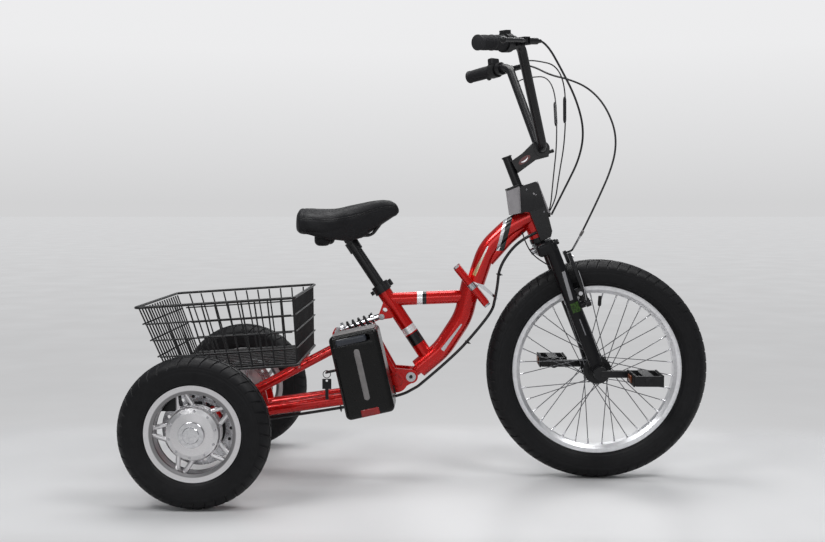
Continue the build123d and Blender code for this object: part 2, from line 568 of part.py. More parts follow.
floor_wires = [
    wire(basket_point(0.0, i / 12, 0), basket_point(1.0, i / 12, 0), shift=(0, 0, 2.4))
    for i in range(1, 12)
]
floor_wires += [
    wire(basket_point(i / 8, 0.02, 0), basket_point(i / 8, 0.98, 0), shift=(0, 0, -0.4))
    for i in range(1, 8)
]


def hoop(w, radius, outset):
    """Closed wire hoop around the basket at one height."""
    corners = [basket_point(u, v, w) for u, v in ((0, 0), (1, 0), (1, 1), (0, 1))]
    moved = [
        (x + (outset if x > -100 else -outset), y + (outset if y > 0 else -outset), z)
        for x, y, z in corners
    ]
    path = FilletPolyline(*moved, radius=14, close=True)
    return sweep(Plane(origin=path @ 0, z_dir=path % 0) * Circle(radius), path=path)


top_hoop = hoop(BASKET_TOP, 3.2, 1.0)
low_hoop = hoop(0, 3.0, 0.0)
keep("basket_rim", place(BASKET, top_hoop), place(BASKET, low_hoop))
side_net -= low_hoop
keep("basket_sides", place(BASKET, side_net), place(BASKET, other_side(side_net)))
floor_net = fused(floor_wires) - low_hoop
keep("basket_floor", place(BASKET, floor_net))
rear_net = end_net(0, 1) - low_hoop - floor_net
front_net = end_net(1, -1) - low_hoop - floor_net
keep("basket_ends", place(BASKET, rear_net), place(BASKET, front_net))

# carrier that ties the basket floor to the axle tube
carrier_post = rod((REAR_AXLE_X, 90, 190), (REAR_AXLE_X, 90, 282), 8)
carrier_foot = rod((REAR_AXLE_X, 80, REAR_TYRE_R), (REAR_AXLE_X, 100, REAR_TYRE_R), 23)
carrier_foot -= rod((REAR_AXLE_X, 70, REAR_TYRE_R), (REAR_AXLE_X, 110, REAR_TYRE_R), 19)
carrier_side = carrier_post + carrier_foot - rod(
    (REAR_AXLE_X, 70, REAR_TYRE_R), (REAR_AXLE_X, 110, REAR_TYRE_R), 19
)
carrier = both_sides(carrier_side + place(BASKET, block((-300, -6), (84, 98), (-12, -4))))
keep("basket_carrier", carrier)
keep("swing_arm", swing_arm - carrier)

# ------------------------------------------------------------------ rear wheels
rear_height = 71.0
rear_mid = REAR_TYRE_R - rear_height / 2
rear_section = (
    Pos(rear_mid, REAR_HALF_TRACK) * RectangleRounded(rear_height, REAR_TYRE_WIDTH, 28)
    - Pos(rear_mid, REAR_HALF_TRACK) * RectangleRounded(rear_height - 9, REAR_TYRE_WIDTH - 8, 24)
    - Pos(98, REAR_HALF_TRACK) * Rectangle(22.6, 45.2)
)
rear_tyre = turned(rear_section, REAR_AXLE_X, REAR_TYRE_R)
rim_points = [
    (90, -20), (90, 20), (96, 21.5), (109, 22.5), (109, 20), (99, 18),
    (96, 8), (96, -8), (99, -18), (109, -20), (109, -22.5), (96, -21.5),
]
rear_rim_section = make_face(Polyline(*[(r, REAR_HALF_TRACK + y) for r, y in rim_points], close=True))
rear_rim = turned(rear_rim_section, REAR_AXLE_X, REAR_TYRE_R)
rear_rim += turned(Pos(47, REAR_HALF_TRACK) * Rectangle(30, 18), REAR_AXLE_X, REAR_TYRE_R)
for i in range(5):
    for lean in (-1, 1):
        foot = radians(35 + 72 * i + lean * 20)
        tip = radians(35 + 72 * i + lean * 5)
        a = (REAR_AXLE_X + 56 * cos(foot), REAR_HALF_TRACK + 3, REAR_TYRE_R + 56 * sin(foot))
        b = (REAR_AXLE_X + 92 * cos(tip), REAR_HALF_TRACK + 3, REAR_TYRE_R + 92 * sin(tip))
        rear_rim += rod(a, b, 5.5)

hub_points = [
    (7.05, 262), (30, 262), (30, 272), (57, 274), (57, 295.7), (31.9, 295.7), (31.9, 314.3),
    (60, 314.3), (61, 319), (58, 326), (48, 331), (30, 333.5), (22, 334), (21, 338.5),
    (0, 339), (0, 325), (7.05, 325),
]
hub_motor = turned(make_face(Polyline(*hub_points, close=True)), REAR_AXLE_X, REAR_TYRE_R)

disc = turned(Pos(73, 257) * Rectangle(24, 2), REAR_AXLE_X, REAR_TYRE_R)
disc += turned(Pos(24.5, 257) * Rectangle(15, 2), REAR_AXLE_X, REAR_TYRE_R)
for i in range(6):
    a = radians(60 * i)
    b = radians(60 * i + 20)
    arm_start = (REAR_AXLE_X + 26 * cos(a), REAR_TYRE_R + 26 * sin(a))
    arm_end = (REAR_AXLE_X + 68 * cos(b), REAR_TYRE_R + 68 * sin(b))
    across = Vector(arm_end[0] - arm_start[0], arm_end[1] - arm_start[1]).normalized() * 4
    disc += plate(
        [
            (arm_start[0] - across.Y, arm_start[1] + across.X),
            (arm_end[0] - across.Y, arm_end[1] + across.X),
            (arm_end[0] + across.Y, arm_end[1] - across.X),
            (arm_start[0] + across.Y, arm_start[1] - across.X),
        ],
        256, 258,
    )
for i in range(18):
    a = radians(20 * i)
    x, z = REAR_AXLE_X + 73 * cos(a), REAR_TYRE_R + 73 * sin(a)
    disc -= rod((x, 250, z), (x, 262, z), 4)
disc += turned(Pos(22, 260) * Rectangle(16, 4), REAR_AXLE_X, REAR_TYRE_R)

for name, turn in (("left", lambda s: s), ("right", other_side)):
    keep(f"rear_tyre_{name}", turn(rear_tyre))
    keep(f"rear_wheel_{name}", turn(rear_rim), turn(hub_motor))
    keep(f"brake_disc_{name}", turn(disc))

# ------------------------------------------------------------ stem and handlebar
quill = place(HEAD, rod((0, 0, 492), (0, 0, 568), 11.1))
stem_outline = [
    (204, 786), (232, 806), (258, 832), (276, 838), (297, 822), (295, 797), (264, 789), (221, 757)
]
stem = quill + plate(stem_outline, -17, 17)
BAR_LOW_X, BAR_LOW_Z = 278.0, 816.0
stem += rod((BAR_LOW_X, -21, BAR_LOW_Z), (BAR_LOW_X, 21, BAR_LOW_Z), 19)
stem -= rod((BAR_LOW_X, -30, BAR_LOW_Z), (BAR_LOW_X, 30, BAR_LOW_Z), BAR_R)
for side in (-1, 1):
    stem += rod((292, side * 12, 806), (304, side * 12, 811), 4)
stem -= rod((BAR_LOW_X, -30, BAR_LOW_Z), (BAR_LOW_X, 30, BAR_LOW_Z), BAR_R)
keep("stem", stem)

bar_points = [
    GRIP_END, BAR_CORNER, (BAR_LOW_X, -44, BAR_LOW_Z), (BAR_LOW_X, 44, BAR_LOW_Z),
    (BAR_CORNER[0], -BAR_CORNER[1], BAR_CORNER[2]), (GRIP_END[0], -GRIP_END[1], GRIP_END[2]),
]
keep("handlebar", bent_rod(bar_points, BAR_R, [42, 40, 40, 42]))

# controls, drawn for the right-hand grip and mirrored where the left one matches
fixed_grip = pipe((104, 0, 0), (GRIP_LENGTH, 0, 0), 17, BAR_R)
fixed_grip += rod((GRIP_LENGTH, 0, 0), (GRIP_LENGTH + 4, 0, 0), 17)
throttle_sleeve = pipe((62.4, 0, 0), (103.7, 0, 0), 17.5, BAR_R + RUNNING)
keep("throttle", place(GRIP, throttle_sleeve))
throttle_case = pipe((42, 0, 0), (62, 0, 0), 21.5, BAR_R) + block((44, 60), (-10, 10), (15, 27))
throttle_case -= rod((30, 0, 0), (70, 0, 0), BAR_R)
left_grip = pipe((62.4, 0, 0), (GRIP_LENGTH, 0, 0), 17, BAR_R)
left_grip += rod((GRIP_LENGTH, 0, 0), (GRIP_LENGTH + 4, 0, 0), 17)
keep("grips", place(GRIP, fixed_grip), other_side(place(GRIP, left_grip)))
switch_pod = pipe((42, 0, 0), (62, 0, 0), 21, BAR_R) + soft_block((43, 61), (-18, 12), (12, 31), 4)
switch_pod -= rod((30, 0, 0), (70, 0, 0), BAR_R)
keep("bar_controls", place(GRIP, throttle_case), other_side(place(GRIP, switch_pod)))

LEVER_X, LEVER_Y = 30.0, 37.0
perch = pipe((25.5, 0, 0), (40, 0, 0), 16.5, BAR_R)
perch += block((25.5, 40), (10, 44), (-9, 9)) + block((20, 30), (22, 44), (-9, 9))
perch += rod((24, 34, 0), (-14, 36, 0), 7.5) + rod((-14, 36, 0), (-26, 36.5, 0), 4.5)
perch -= rod((10, 0, 0), (60, 0, 0), BAR_R)
perch -= block((21.5, 60), (28, 60), (-5.4, 5.4))
perch += rod((LEVER_X, LEVER_Y, -9), (LEVER_X, LEVER_Y, 9), 2.5)
keep("brake_perches", place(GRIP, perch), other_side(place(GRIP, perch)))
lever = rod((LEVER_X, LEVER_Y, -5), (LEVER_X, LEVER_Y, 5), 7)
lever += bent_rod([(LEVER_X, LEVER_Y + 1, 0), (58, 50, 0), (134, 60, 0)], 4.6, [25])
lever += Pos(134, 60, 0) * Sphere(7.5)
lever -= rod((LEVER_X, LEVER_Y, -8), (LEVER_X, LEVER_Y, 8), 2.5 + 0.08)
for name, turn in (("right", lambda s: s), ("left", other_side)):
    keep(f"brake_lever_{name}", turn(place(GRIP, lever)))

# ---------------------------------------------------------------------- cables
perch_end = GRIP.location * Pos(-28.2, 36.5, 0)
right_exit = tuple(perch_end.position)
left_exit = (right_exit[0], -right_exit[1], right_exit[2])
box_entry_right = tuple((HEAD.location * Pos(50.5, -14, 398)).position)
box_entry_left = tuple((HEAD.location * Pos(50.5, 14, 398)).position)
noodle_top = tuple((HEAD.location * Pos(106.5, 62, 318.5)).position)
rear_brake_cable = bent_rod(
    [right_exit, (270.7, -192.9, 1049.2), (388, -66, 850), box_entry_right], 2.5, [20, 140]
)
front_brake_cable = bent_rod(
    [left_exit, (274, 189, 1046), (530, 70, 950), noodle_top], 2.5, [20, 236]
)
keep("front_brake_cable", front_brake_cable)

# thin switch wires, each with a plug-in connector half way down
right_switch_wire = bent_rod(
    [(232, -160, 1014), (324, -80, 1006), (334, -40, 850), (318, -22, 740), (313, -10, 688), (296, -4, 657)],
    1.6, [40, 60, 60, 30],
)
right_switch_wire += rod((328.6, -61.8, 935), (332.1, -47.7, 880), 4)
left_switch_wire = bent_rod(
    [(262, 168, 1012), (318, 98, 1006), (322, 34, 850), (308, 14, 728), (303, 6, 672), (296, 4, 657)],
    1.6, [25, 80, 60, 12],
)
left_switch_wire += rod((319.8, 69.1, 935), (321.2, 46.3, 880), 4)
fork_wire = bent_rod(
    [(232, -15, 612), (238, -17, 588), (262, -26, 548), (303, -38, 528)], 1.6, [40, 50]
)
keep("bar_cables", rear_brake_cable, right_switch_wire, left_switch_wire, fork_wire)

front_loom = bent_rod(
    [
        (266.5, -28, 612), (243, -28, 602), (208, -12, 574), (176, -8, 524), (172, -8, 478),
        (166, -8, 446),
    ],
    3.6, [12, 30, 45, 60],
)
keep("front_loom", front_loom)
main_loom = bent_rod(
    [(165.2, -8, 443), (160, -8, 418), (122, -8, 368), (62, -8, 300), (-25, -8, 227)],
    3.6, [50, 120, 140],
)
keep("main_loom", main_loom)
rear_loom = bent_rod(
    [(-30, -8, 225), (-62, -8, 206), (-130, -30, 194), (-215, -38, 176), (-440, -42, 143)],
    3.6, [25, 60, 100],
)
keep("rear_loom", rear_loom)
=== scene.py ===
from math import atan2, cos, degrees, pi, radians, sin, tau

import bmesh
import bpy
import numpy as np
from mathutils import Matrix, Vector, noise


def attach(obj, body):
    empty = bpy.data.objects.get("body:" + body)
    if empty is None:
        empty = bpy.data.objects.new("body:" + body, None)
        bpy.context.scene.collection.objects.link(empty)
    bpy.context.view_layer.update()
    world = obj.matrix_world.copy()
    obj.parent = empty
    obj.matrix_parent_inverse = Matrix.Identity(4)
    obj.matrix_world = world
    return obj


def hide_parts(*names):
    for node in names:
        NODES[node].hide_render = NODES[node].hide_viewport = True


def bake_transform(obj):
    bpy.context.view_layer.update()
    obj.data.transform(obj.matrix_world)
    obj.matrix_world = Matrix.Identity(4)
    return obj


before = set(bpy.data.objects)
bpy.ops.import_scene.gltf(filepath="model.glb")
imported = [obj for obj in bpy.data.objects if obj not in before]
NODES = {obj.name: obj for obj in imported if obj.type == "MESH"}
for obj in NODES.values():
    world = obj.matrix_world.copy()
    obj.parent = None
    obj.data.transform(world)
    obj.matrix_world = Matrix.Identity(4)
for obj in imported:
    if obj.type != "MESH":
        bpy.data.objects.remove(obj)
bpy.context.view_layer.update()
MM = 0.001

# Driving dimensions of the frame, in millimetres, as the CAD has them
FRONT_AXLE = (417.75, 272.5)
REAR_AXLE = (-517.25, 173.0)
REAR_HALF_TRACK = 305.0
FORK_OFFSET = 17.0
ARM_PIVOT = (-41.5, 255.0)


class Local:
    """A local frame of the CAD, in millimetres: X forward, Y left, Z up, leaning back."""

    def __init__(self, x, y, z, angle=0.0, axes=None):
        a = radians(angle)
        self.origin = Vector((x, y, z))
        self.axes = axes or (Vector((cos(a), 0, sin(a))), Vector((0, 1, 0)), Vector((-sin(a), 0, cos(a))))

    def at(self, x, y, z):
        """A local point in metres, in the row frame."""
        along = self.axes[0] * x + self.axes[1] * y + self.axes[2] * z
        return (self.origin + along) * MM

    def matrix(self, x=0, y=0, z=0):
        """Placement with the local axes, origin at a local point, in metres."""
        turn = Matrix(self.axes).transposed().to_4x4()
        return Matrix.Translation(self.at(x, y, z)) @ turn

    def mirrored(self):
        """The same frame on the other side; its Y axis is turned too, so it is left-handed."""
        flip = [Vector((v.x, -v.y, v.z)) for v in self.axes]
        o = self.origin
        return Local(o.x, -o.y, o.z, axes=tuple(flip))


steer = radians(21.5)
HEAD = Local(
    FRONT_AXLE[0] - FORK_OFFSET * cos(steer), 0, FRONT_AXLE[1] - FORK_OFFSET * sin(steer), 21.5
)
SEAT = Local(-121, 0, 480, 33.5)
BATTERY = Local(-154, -115, 285, 12.7)
SHOCK = Local(-225, 0, 364, degrees(atan2(38, 110)))
grip_x = (Vector((112, -312, 1029)) - Vector((210, -205, 1044))).normalized()
grip_z = grip_x.cross(Vector((-grip_x.y, grip_x.x, 0))).normalized()
GRIP = Local(210, -205, 1044, axes=(grip_x, grip_z.cross(grip_x), grip_z))
GRIP_LEFT = GRIP.mirrored()


# ------------------------------------------------------------------- camera
def make_camera():
    """The photograph's viewpoint: right side, a little behind the front, low."""
    yaw, pitch = -0.0287, 0.0653
    forward = Vector((sin(yaw) * cos(pitch), cos(yaw) * cos(pitch), -sin(pitch)))
    right = Vector((cos(yaw), -sin(yaw), 0))
    up = right.cross(forward)
    data = bpy.data.cameras.new("camera")
    data.lens, data.sensor_width, data.clip_end = 45.82, 36.0, 50.0
    camera = bpy.data.objects.new("camera", data)
    camera.matrix_world = Matrix.Translation((0.03606, -2.6056, 0.68525)) @ Matrix(
        (right, up, -forward)
    ).transposed().to_4x4()
    bpy.context.scene.collection.objects.link(camera)
    bpy.context.scene.camera = camera


make_camera()


# ---------------------------------------------------------------- materials
class Surface:
    """A procedural material built up round one Principled shader."""

    def __init__(self, name, color, roughness, metallic=0.0, **sockets):
        self.material = bpy.data.materials.new(name)
        self.material.use_nodes = True
        self.tree = self.material.node_tree
        self.shader = self.tree.nodes["Principled BSDF"]
        self.set("Base Color", (*color, 1))
        self.set("Roughness", roughness)
        self.set("Metallic", metallic)
        for key, value in sockets.items():
            self.set(key.replace("_", " "), value)
        self.place = self.node("ShaderNodeTexCoord").outputs["Object"]
        self.color = color

    def node(self, kind, **values):
        made = self.tree.nodes.new(kind)
        for key, value in values.items():
            setattr(made, key, value)
        return made

    def set(self, socket, value):
        self.shader.inputs[socket].default_value = value

    def link(self, source, target):
        self.tree.links.new(source, target)

    def feed(self, socket, source):
        self.link(source, self.shader.inputs[socket])

    def noise(self, scale, detail=3.0, stretch=None):
        """Noise in metres: about 1 / scale across each patch."""
        made = self.node("ShaderNodeTexNoise")
        made.inputs["Scale"].default_value = scale
        made.inputs["Detail"].default_value = detail
        where = self.place
        if stretch:
            bend = self.node("ShaderNodeMapping")
            bend.inputs["Scale"].default_value = stretch
            self.link(where, bend.inputs["Vector"])
            where = bend.outputs["Vector"]
        self.link(where, made.inputs["Vector"])
        return made.outputs["Fac"]

    def cells(self, scale):
        """Small rounded cells, as in leather grain."""
        made = self.node("ShaderNodeTexVoronoi")
        made.inputs["Scale"].default_value = scale
        self.link(self.place, made.inputs["Vector"])
        return made.outputs["Distance"]

    def rescale(self, source, low, high, from_low=0.3, from_high=0.7):
        made = self.node("ShaderNodeMapRange")
        self.link(source, made.inputs["Value"])
        for key, value in zip(("From Min", "From Max", "To Min", "To Max"), (from_low, from_high, low, high)):
            made.inputs[key].default_value = value
        return made.outputs["Result"]

    def math(self, operation, a, b=0.0, c=0.0):
        made = self.node("ShaderNodeMath", operation=operation)
        for socket, value in zip(made.inputs, (a, b, c)):
            if isinstance(value, (int, float)):
                socket.default_value = value
            else:
                self.link(value, socket)
        return made.outputs[0]

    def axis(self, direction, origin=(0, 0, 0)):
        """Distance in metres along a direction from a point."""
        shift = self.node("ShaderNodeVectorMath", operation="SUBTRACT")
        shift.inputs[1].default_value = origin
        self.link(self.place, shift.inputs[0])
        dot = self.node("ShaderNodeVectorMath", operation="DOT_PRODUCT")
        dot.inputs[1].default_value = direction
        self.link(shift.outputs[0], dot.inputs[0])
        return dot.outputs["Value"]

    def between(self, source, low, high):
        """1 where the value lies between two limits, else 0."""
        over = self.math("GREATER_THAN", source, low)
        return self.math("MULTIPLY", over, self.math("LESS_THAN", source, high))

    def every(self, *masks):
        made = masks[0]
        for mask in masks[1:]:
            made = self.math("MULTIPLY", made, mask)
        return made

    def mix(self, factor, a, b):
        made = self.node("ShaderNodeMix", data_type="RGBA")
        if isinstance(factor, (int, float)):
            made.inputs["Factor"].default_value = factor
        else:
            self.link(factor, made.inputs["Factor"])
        for socket, value in ((made.inputs[6], a), (made.inputs[7], b)):
            if isinstance(value, tuple):
                socket.default_value = (*value, 1)
            else:
                self.link(value, socket)
        return made.outputs[2]

    def bump(self, height, distance, strength=1.0):
        made = self.node("ShaderNodeBump")
        made.inputs["Distance"].default_value = distance
        made.inputs["Strength"].default_value = strength
        self.link(height, made.inputs["Height"])
        self.link(made.outputs["Normal"], self.shader.inputs["Normal"])

    def tone(self, shade, scale=35.0, detail=4.0, stretch=None):
        """Colour that drifts between the base and a second shade."""
        source = self.rescale(self.noise(scale, detail, stretch), 0.0, 1.0)
        return self.mix(source, tuple(self.color), shade)


def darker(color, share):
    return tuple(c * share for c in color)


def painted(name, color, shade, roughness=0.28, metallic=0.0, coat=1.0, specular=0.5, masks=None):
    """Sprayed paint under clear lacquer, with fine orange peel."""
    s = Surface(
        name, color, roughness, metallic,
        Coat_Weight=coat, Coat_Roughness=0.06, Specular_IOR_Level=specular,
    )
    tint = s.tone(shade, 900.0, 2.0)
    if masks:
        tint = masks(s, tint)
    s.feed("Base Color", tint)
    s.feed("Roughness", s.rescale(s.noise(60, 4), roughness - 0.04, roughness + 0.06))
    s.bump(s.noise(260, 2), 0.00005, 0.4)
    return s.material


def metal(name, color, roughness, spread=0.1, scale=160.0, stretch=None, bump=0.00006):
    """Bare metal with fine brushed or cast texture."""
    s = Surface(name, color, roughness, 1.0)
    grain = s.noise(scale, 5, stretch)
    s.feed("Base Color", s.tone(darker(color, 0.82), scale, 5, stretch))
    s.feed("Roughness", s.rescale(grain, max(roughness - spread, 0.04), roughness + spread))
    s.bump(grain, bump, 0.5)
    return s.material


def plastic(name, color, roughness, grain=700.0, bump=0.0001, coat=0.0, shade=0.7, specular=0.3):
    """Moulded plastic or rubber with a fine texture."""
    s = Surface(
        name, color, roughness,
        Coat_Weight=coat, Coat_Roughness=0.08, Specular_IOR_Level=specular,
    )
    s.feed("Base Color", s.tone(darker(color, shade), 45.0, 4))
    s.feed("Roughness", s.rescale(s.noise(90, 4), roughness - 0.07, roughness + 0.08))
    s.bump(s.noise(grain, 3), bump, 0.6)
    return s.material


RED, RED_DEEP = (0.56, 0.0045, 0.0025), (0.42, 0.002, 0.0012)
WHITE, BLACK, SILVER = (0.82, 0.82, 0.83), (0.012, 0.012, 0.013), (0.55, 0.55, 0.57)
GOLD = (0.50, 0.40, 0.16)


def layers(s, tint, *bands):
    for mask, color in bands:
        tint = s.mix(mask, tint, color)
    return tint


def main_bands(s, tint):
    """White and black rings on the top tube and the seat tube, a plain flash on the down tube."""
    x, z = s.axis((1, 0, 0)), s.axis((0, 0, 1))
    top = s.between(z, 0.415, 0.475)
    down_seat = s.axis(SEAT.axes[2], SEAT.at(0, 0, 0))
    seat = s.between(s.axis(SEAT.axes[0], SEAT.at(0, 0, 0)), -0.024, 0.024)
    along = s.axis((0.59, 0, 0.81), (0.068, 0, 0.352))
    across = s.axis((-0.81, 0, 0.59), (0.068, 0, 0.352))
    width = s.math("MULTIPLY_ADD", along, -0.04, 0.0032)
    flash = s.every(
        s.between(along, -0.045, 0.036),
        s.math("LESS_THAN", s.math("ABSOLUTE", s.math("SUBTRACT", across, 0.007)), width),
    )
    return layers(
        s, tint,
        (s.every(top, s.between(x, -0.0269, -0.0135)), WHITE),
        (s.every(top, s.between(x, -0.0135, -0.0036)), BLACK),
        (s.every(seat, s.between(down_seat, -0.142, -0.124)), WHITE),
        (s.every(seat, s.between(down_seat, -0.175, -0.145)), BLACK),
        (flash, SILVER),
    )


def beam_bands(s, tint):
    """Slanted silver and black bands near the head, and a plain gold flash lower down."""
    high = s.math("GREATER_THAN", s.axis((0, 0, 1)), 0.566)
    slant = s.axis((1, 0, -0.244), (0, 0, 0.580))
    along = s.axis((0.43, 0, 0.903), (0.1285, 0, 0.538))
    across = s.axis((0.903, 0, -0.43), (0.1285, 0, 0.538))
    width = s.math("MULTIPLY_ADD", along, -0.035, 0.0032)
    flash = s.every(
        s.between(along, -0.036, 0.044), s.math("LESS_THAN", s.math("ABSOLUTE", across), width)
    )
    gold = s.mix(s.rescale(along, 0.0, 1.0, -0.036, 0.04), GOLD, SILVER)
    tint = s.mix(flash, tint, gold)
    return layers(
        s, tint,
        (s.every(high, s.between(slant, 0.171, 0.179)), SILVER),
        (s.every(high, s.between(slant, 0.179, 0.191)), BLACK),
    )


def fork_marks(s, tint):
    """Plain grey and green flashes on the outside of both fork legs."""
    up, fore = s.axis(HEAD.axes[2], HEAD.at(0, 0, 0)), s.axis(HEAD.axes[0], HEAD.at(0, 0, 0))
    out = s.math("GREATER_THAN", s.math("ABSOLUTE", s.axis((0, 1, 0))), 0.063)
    slope = s.math("MULTIPLY_ADD", up, 0.09, -0.0005)
    near = s.math("LESS_THAN", s.math("ABSOLUTE", s.math("SUBTRACT", fore, slope)), 0.0042)
    grain = s.rescale(s.noise(220, 3), 0.25, 1.0, 0.4, 0.6)
    green = s.every(out, s.between(up, 0.158, 0.182), s.between(fore, 0.009, 0.030), grain)
    grey = s.every(out, s.between(up, 0.190, 0.262), near)
    small = s.every(out, s.between(up, 0.098, 0.140), s.between(fore, 0.017, 0.0195))
    return layers(
        s, tint,
        (green, (0.035, 0.08, 0.015)), (grey, (0.22, 0.22, 0.23)), (small, (0.16, 0.16, 0.17)),
    )


def head_zones(s, tint):
    """The lower half of the front box is a shade lighter than the glossy upper half."""
    low = s.math("LESS_THAN", s.axis(HEAD.axes[2], HEAD.at(0, 0, 0)), 0.424)
    return s.mix(low, tint, (0.011, 0.011, 0.012))


def rim_recess_shade(s, tint):
    """Painted shade on the rear rims: a darker inner band inside the bright lip, standing in for the shade of
    the recessed barrel.
    """
    x, z = s.axis((1, 0, 0), (REAR_AXLE[0] * MM, 0, 0)), s.axis((0, 0, 1), (0, 0, REAR_AXLE[1] * MM))
    reach = s.math("SQRT", s.math("ADD", s.math("MULTIPLY", x, x), s.math("MULTIPLY", z, z)))
    side = s.math("SUBTRACT", s.math("ABSOLUTE", s.axis((0, 1, 0))), REAR_HALF_TRACK * MM)
    outer = s.math("GREATER_THAN", s.math("ABSOLUTE", side), 0.012)
    band = s.rescale(reach, 1.0, 0.0, 0.0965, 0.0985)
    inside = s.every(outer, band, s.math("GREATER_THAN", reach, 0.086))
    return s.mix(inside, tint, (0.24, 0.235, 0.24))


MAT = {
    "red": painted("red_paint", RED, RED_DEEP, 0.25, 0.55, 0.5, 0.3),
    "red_main": painted("red_paint_banded", RED, RED_DEEP, 0.25, 0.55, 0.5, 0.3, main_bands),
    "red_beam": painted("red_paint_slanted", RED, RED_DEEP, 0.25, 0.55, 0.6, 0.35, beam_bands),
    "black": painted("black_paint", (0.006, 0.006, 0.007), (0.010, 0.010, 0.011), 0.30, 0.0, 0.12, 0.25),
    "black_fork": painted(
        "black_paint_marked", (0.004, 0.004, 0.005), (0.006, 0.006, 0.007), 0.30, 0.0, 0.06, 0.18,
        masks=fork_marks,
    ),
    "wire_black": painted("wire_coating", (0.009, 0.009, 0.010), (0.016, 0.016, 0.017), 0.4, 0.0, 0.1, 0.25),
    # Rear wheels: cast alloy, with painted shade on the rims' inner band
    "cast": painted("cast_alloy", (0.78, 0.77, 0.78), (0.66, 0.65, 0.66), 0.34, 1.0, 0.0, 0.5, rim_recess_shade),
    "polished": metal("polished_alloy", (0.72, 0.72, 0.74), 0.20, 0.06, 120),
    "rim": metal("rim_alloy", (0.93, 0.93, 0.95), 0.36, 0.08, 90),
    "steel": metal("brushed_steel", (0.55, 0.55, 0.57), 0.28, 0.1, 300),
    "spoke": metal("dark_spoke", (0.16, 0.16, 0.17), 0.32, 0.08, 400),
    "chrome": metal("chrome", (0.78, 0.78, 0.80), 0.10, 0.05, 150),
    "tyre": plastic("tyre_rubber", (0.0065, 0.0065, 0.0075), 0.5, 900, 0.00018, specular=0.2),
    "rubber": plastic("grip_rubber", (0.016, 0.016, 0.018), 0.6, 1100, 0.0002, specular=0.25),
    "plastic": plastic("black_plastic", (0.010, 0.010, 0.011), 0.4, 900, 0.00012, specular=0.28),
    "gloss": plastic("gloss_plastic", (0.005, 0.005, 0.005), 0.24, 300, 0.00004, specular=0.22),
    "head_box": painted(
        "head_box_plastic", (0.004, 0.004, 0.005), (0.006, 0.006, 0.007), 0.22, 0.0, 0.1, 0.22,
        masks=head_zones,
    ),
    "grey": plastic("grey_plastic", (0.25, 0.24, 0.25), 0.45, 600, 0.0001, shade=0.85),
    "strip": plastic("grey_strip", (0.20, 0.19, 0.19), 0.5, 900, 0.0002, shade=0.75),
    "blue_grey": plastic("blue_grey_plastic", (0.022, 0.026, 0.036), 0.24, 500, 0.00005, coat=0.4),
    "badge": plastic("badge_enamel", (0.10, 0.006, 0.008), 0.2, 400, 0.00004, coat=0.4),
    "orange": plastic("orange_reflector", (0.16, 0.035, 0.006), 0.3, 500, 0.0002, coat=0.2),
    "red_lens": plastic("red_reflector", (0.26, 0.012, 0.012), 0.25, 500, 0.0003, coat=0.4),
    "white_mark": plastic("white_mark", (0.75, 0.75, 0.76), 0.35, 400, 0.00004),
    "cable": plastic("cable_sleeve", (0.014, 0.014, 0.016), 0.35, 500, 0.00005, coat=0.1),
}

CAD_LOOKS = {
    "red_main": ["main_frame"],
    "red_beam": ["front_frame"],
    "red": ["swing_arm"],
    "black_fork": ["fork"],
    "black": [
        "stem", "handlebar", "seat_post", "saddle_mount", "seat_clamp", "seat_lever", "crankset",
        "front_hub", "brake_perches", "brake_lever_left", "brake_lever_right", "rim_brake_left",
        "rim_brake_right", "rear_calipers", "headset_cups", "shock_spring",
    ],
    "wire_black": ["basket_sides", "basket_ends", "basket_floor", "basket_rim", "basket_carrier"],
    "steel": [
        "frame_pins", "fold_bolt", "arm_pins", "shock_rod", "brake_disc_left", "brake_disc_right",
        "crown_bolts",
    ],
    "chrome": ["fold_lever", "shock_body"],
    "rim": ["front_rim"],
    "cast": ["rear_wheel_left", "rear_wheel_right"],
    "spoke": ["front_spokes"],
    "tyre": ["front_tyre", "rear_tyre_left", "rear_tyre_right"],
    "rubber": ["grips", "throttle"],
    "gloss": ["battery_case"],
    "head_box": ["head_box"],
    "grey": ["head_cover"],
    "plastic": [
        "pedal_left", "pedal_right", "bar_controls", "battery_rail", "battery_fittings",
        "battery_key", "spare_key", "saddle_base", "saddle_cushion",
    ],
    "cable": ["bar_cables", "front_brake_cable", "front_loom", "main_loom", "rear_loom"],
}


def dress_cad():
    """Gives every CAD node its finish."""
    for look, names in CAD_LOOKS.items():
        for name in names:
            mesh = NODES[name].data
            mesh.materials.clear()
            mesh.materials.append(MAT[look])


dress_cad()


# -------------------------------------------------------------------- studio
FLOOR_TONE = 0.57
WORLD_LIGHT = 0.25
# Half sizes in metres of the lit patch of floor under the tricycle
LIT_HALF_LENGTH, LIT_HALF_WIDTH = 1.75, 0.54


def tone_ramp(surface, source, stops):
    """Grey ramp from (place, brightness) stops."""
    ramp = surface.node("ShaderNodeValToRGB")
    for index, (at, value) in enumerate(stops):
        stop = ramp.color_ramp.elements[index] if index < 2 else ramp.color_ramp.elements.new(at)
        stop.position, stop.color = at, (value, value, value * 1.01, 1)
    surface.link(source, ramp.inputs["Fac"])
    return ramp.outputs["Color"]


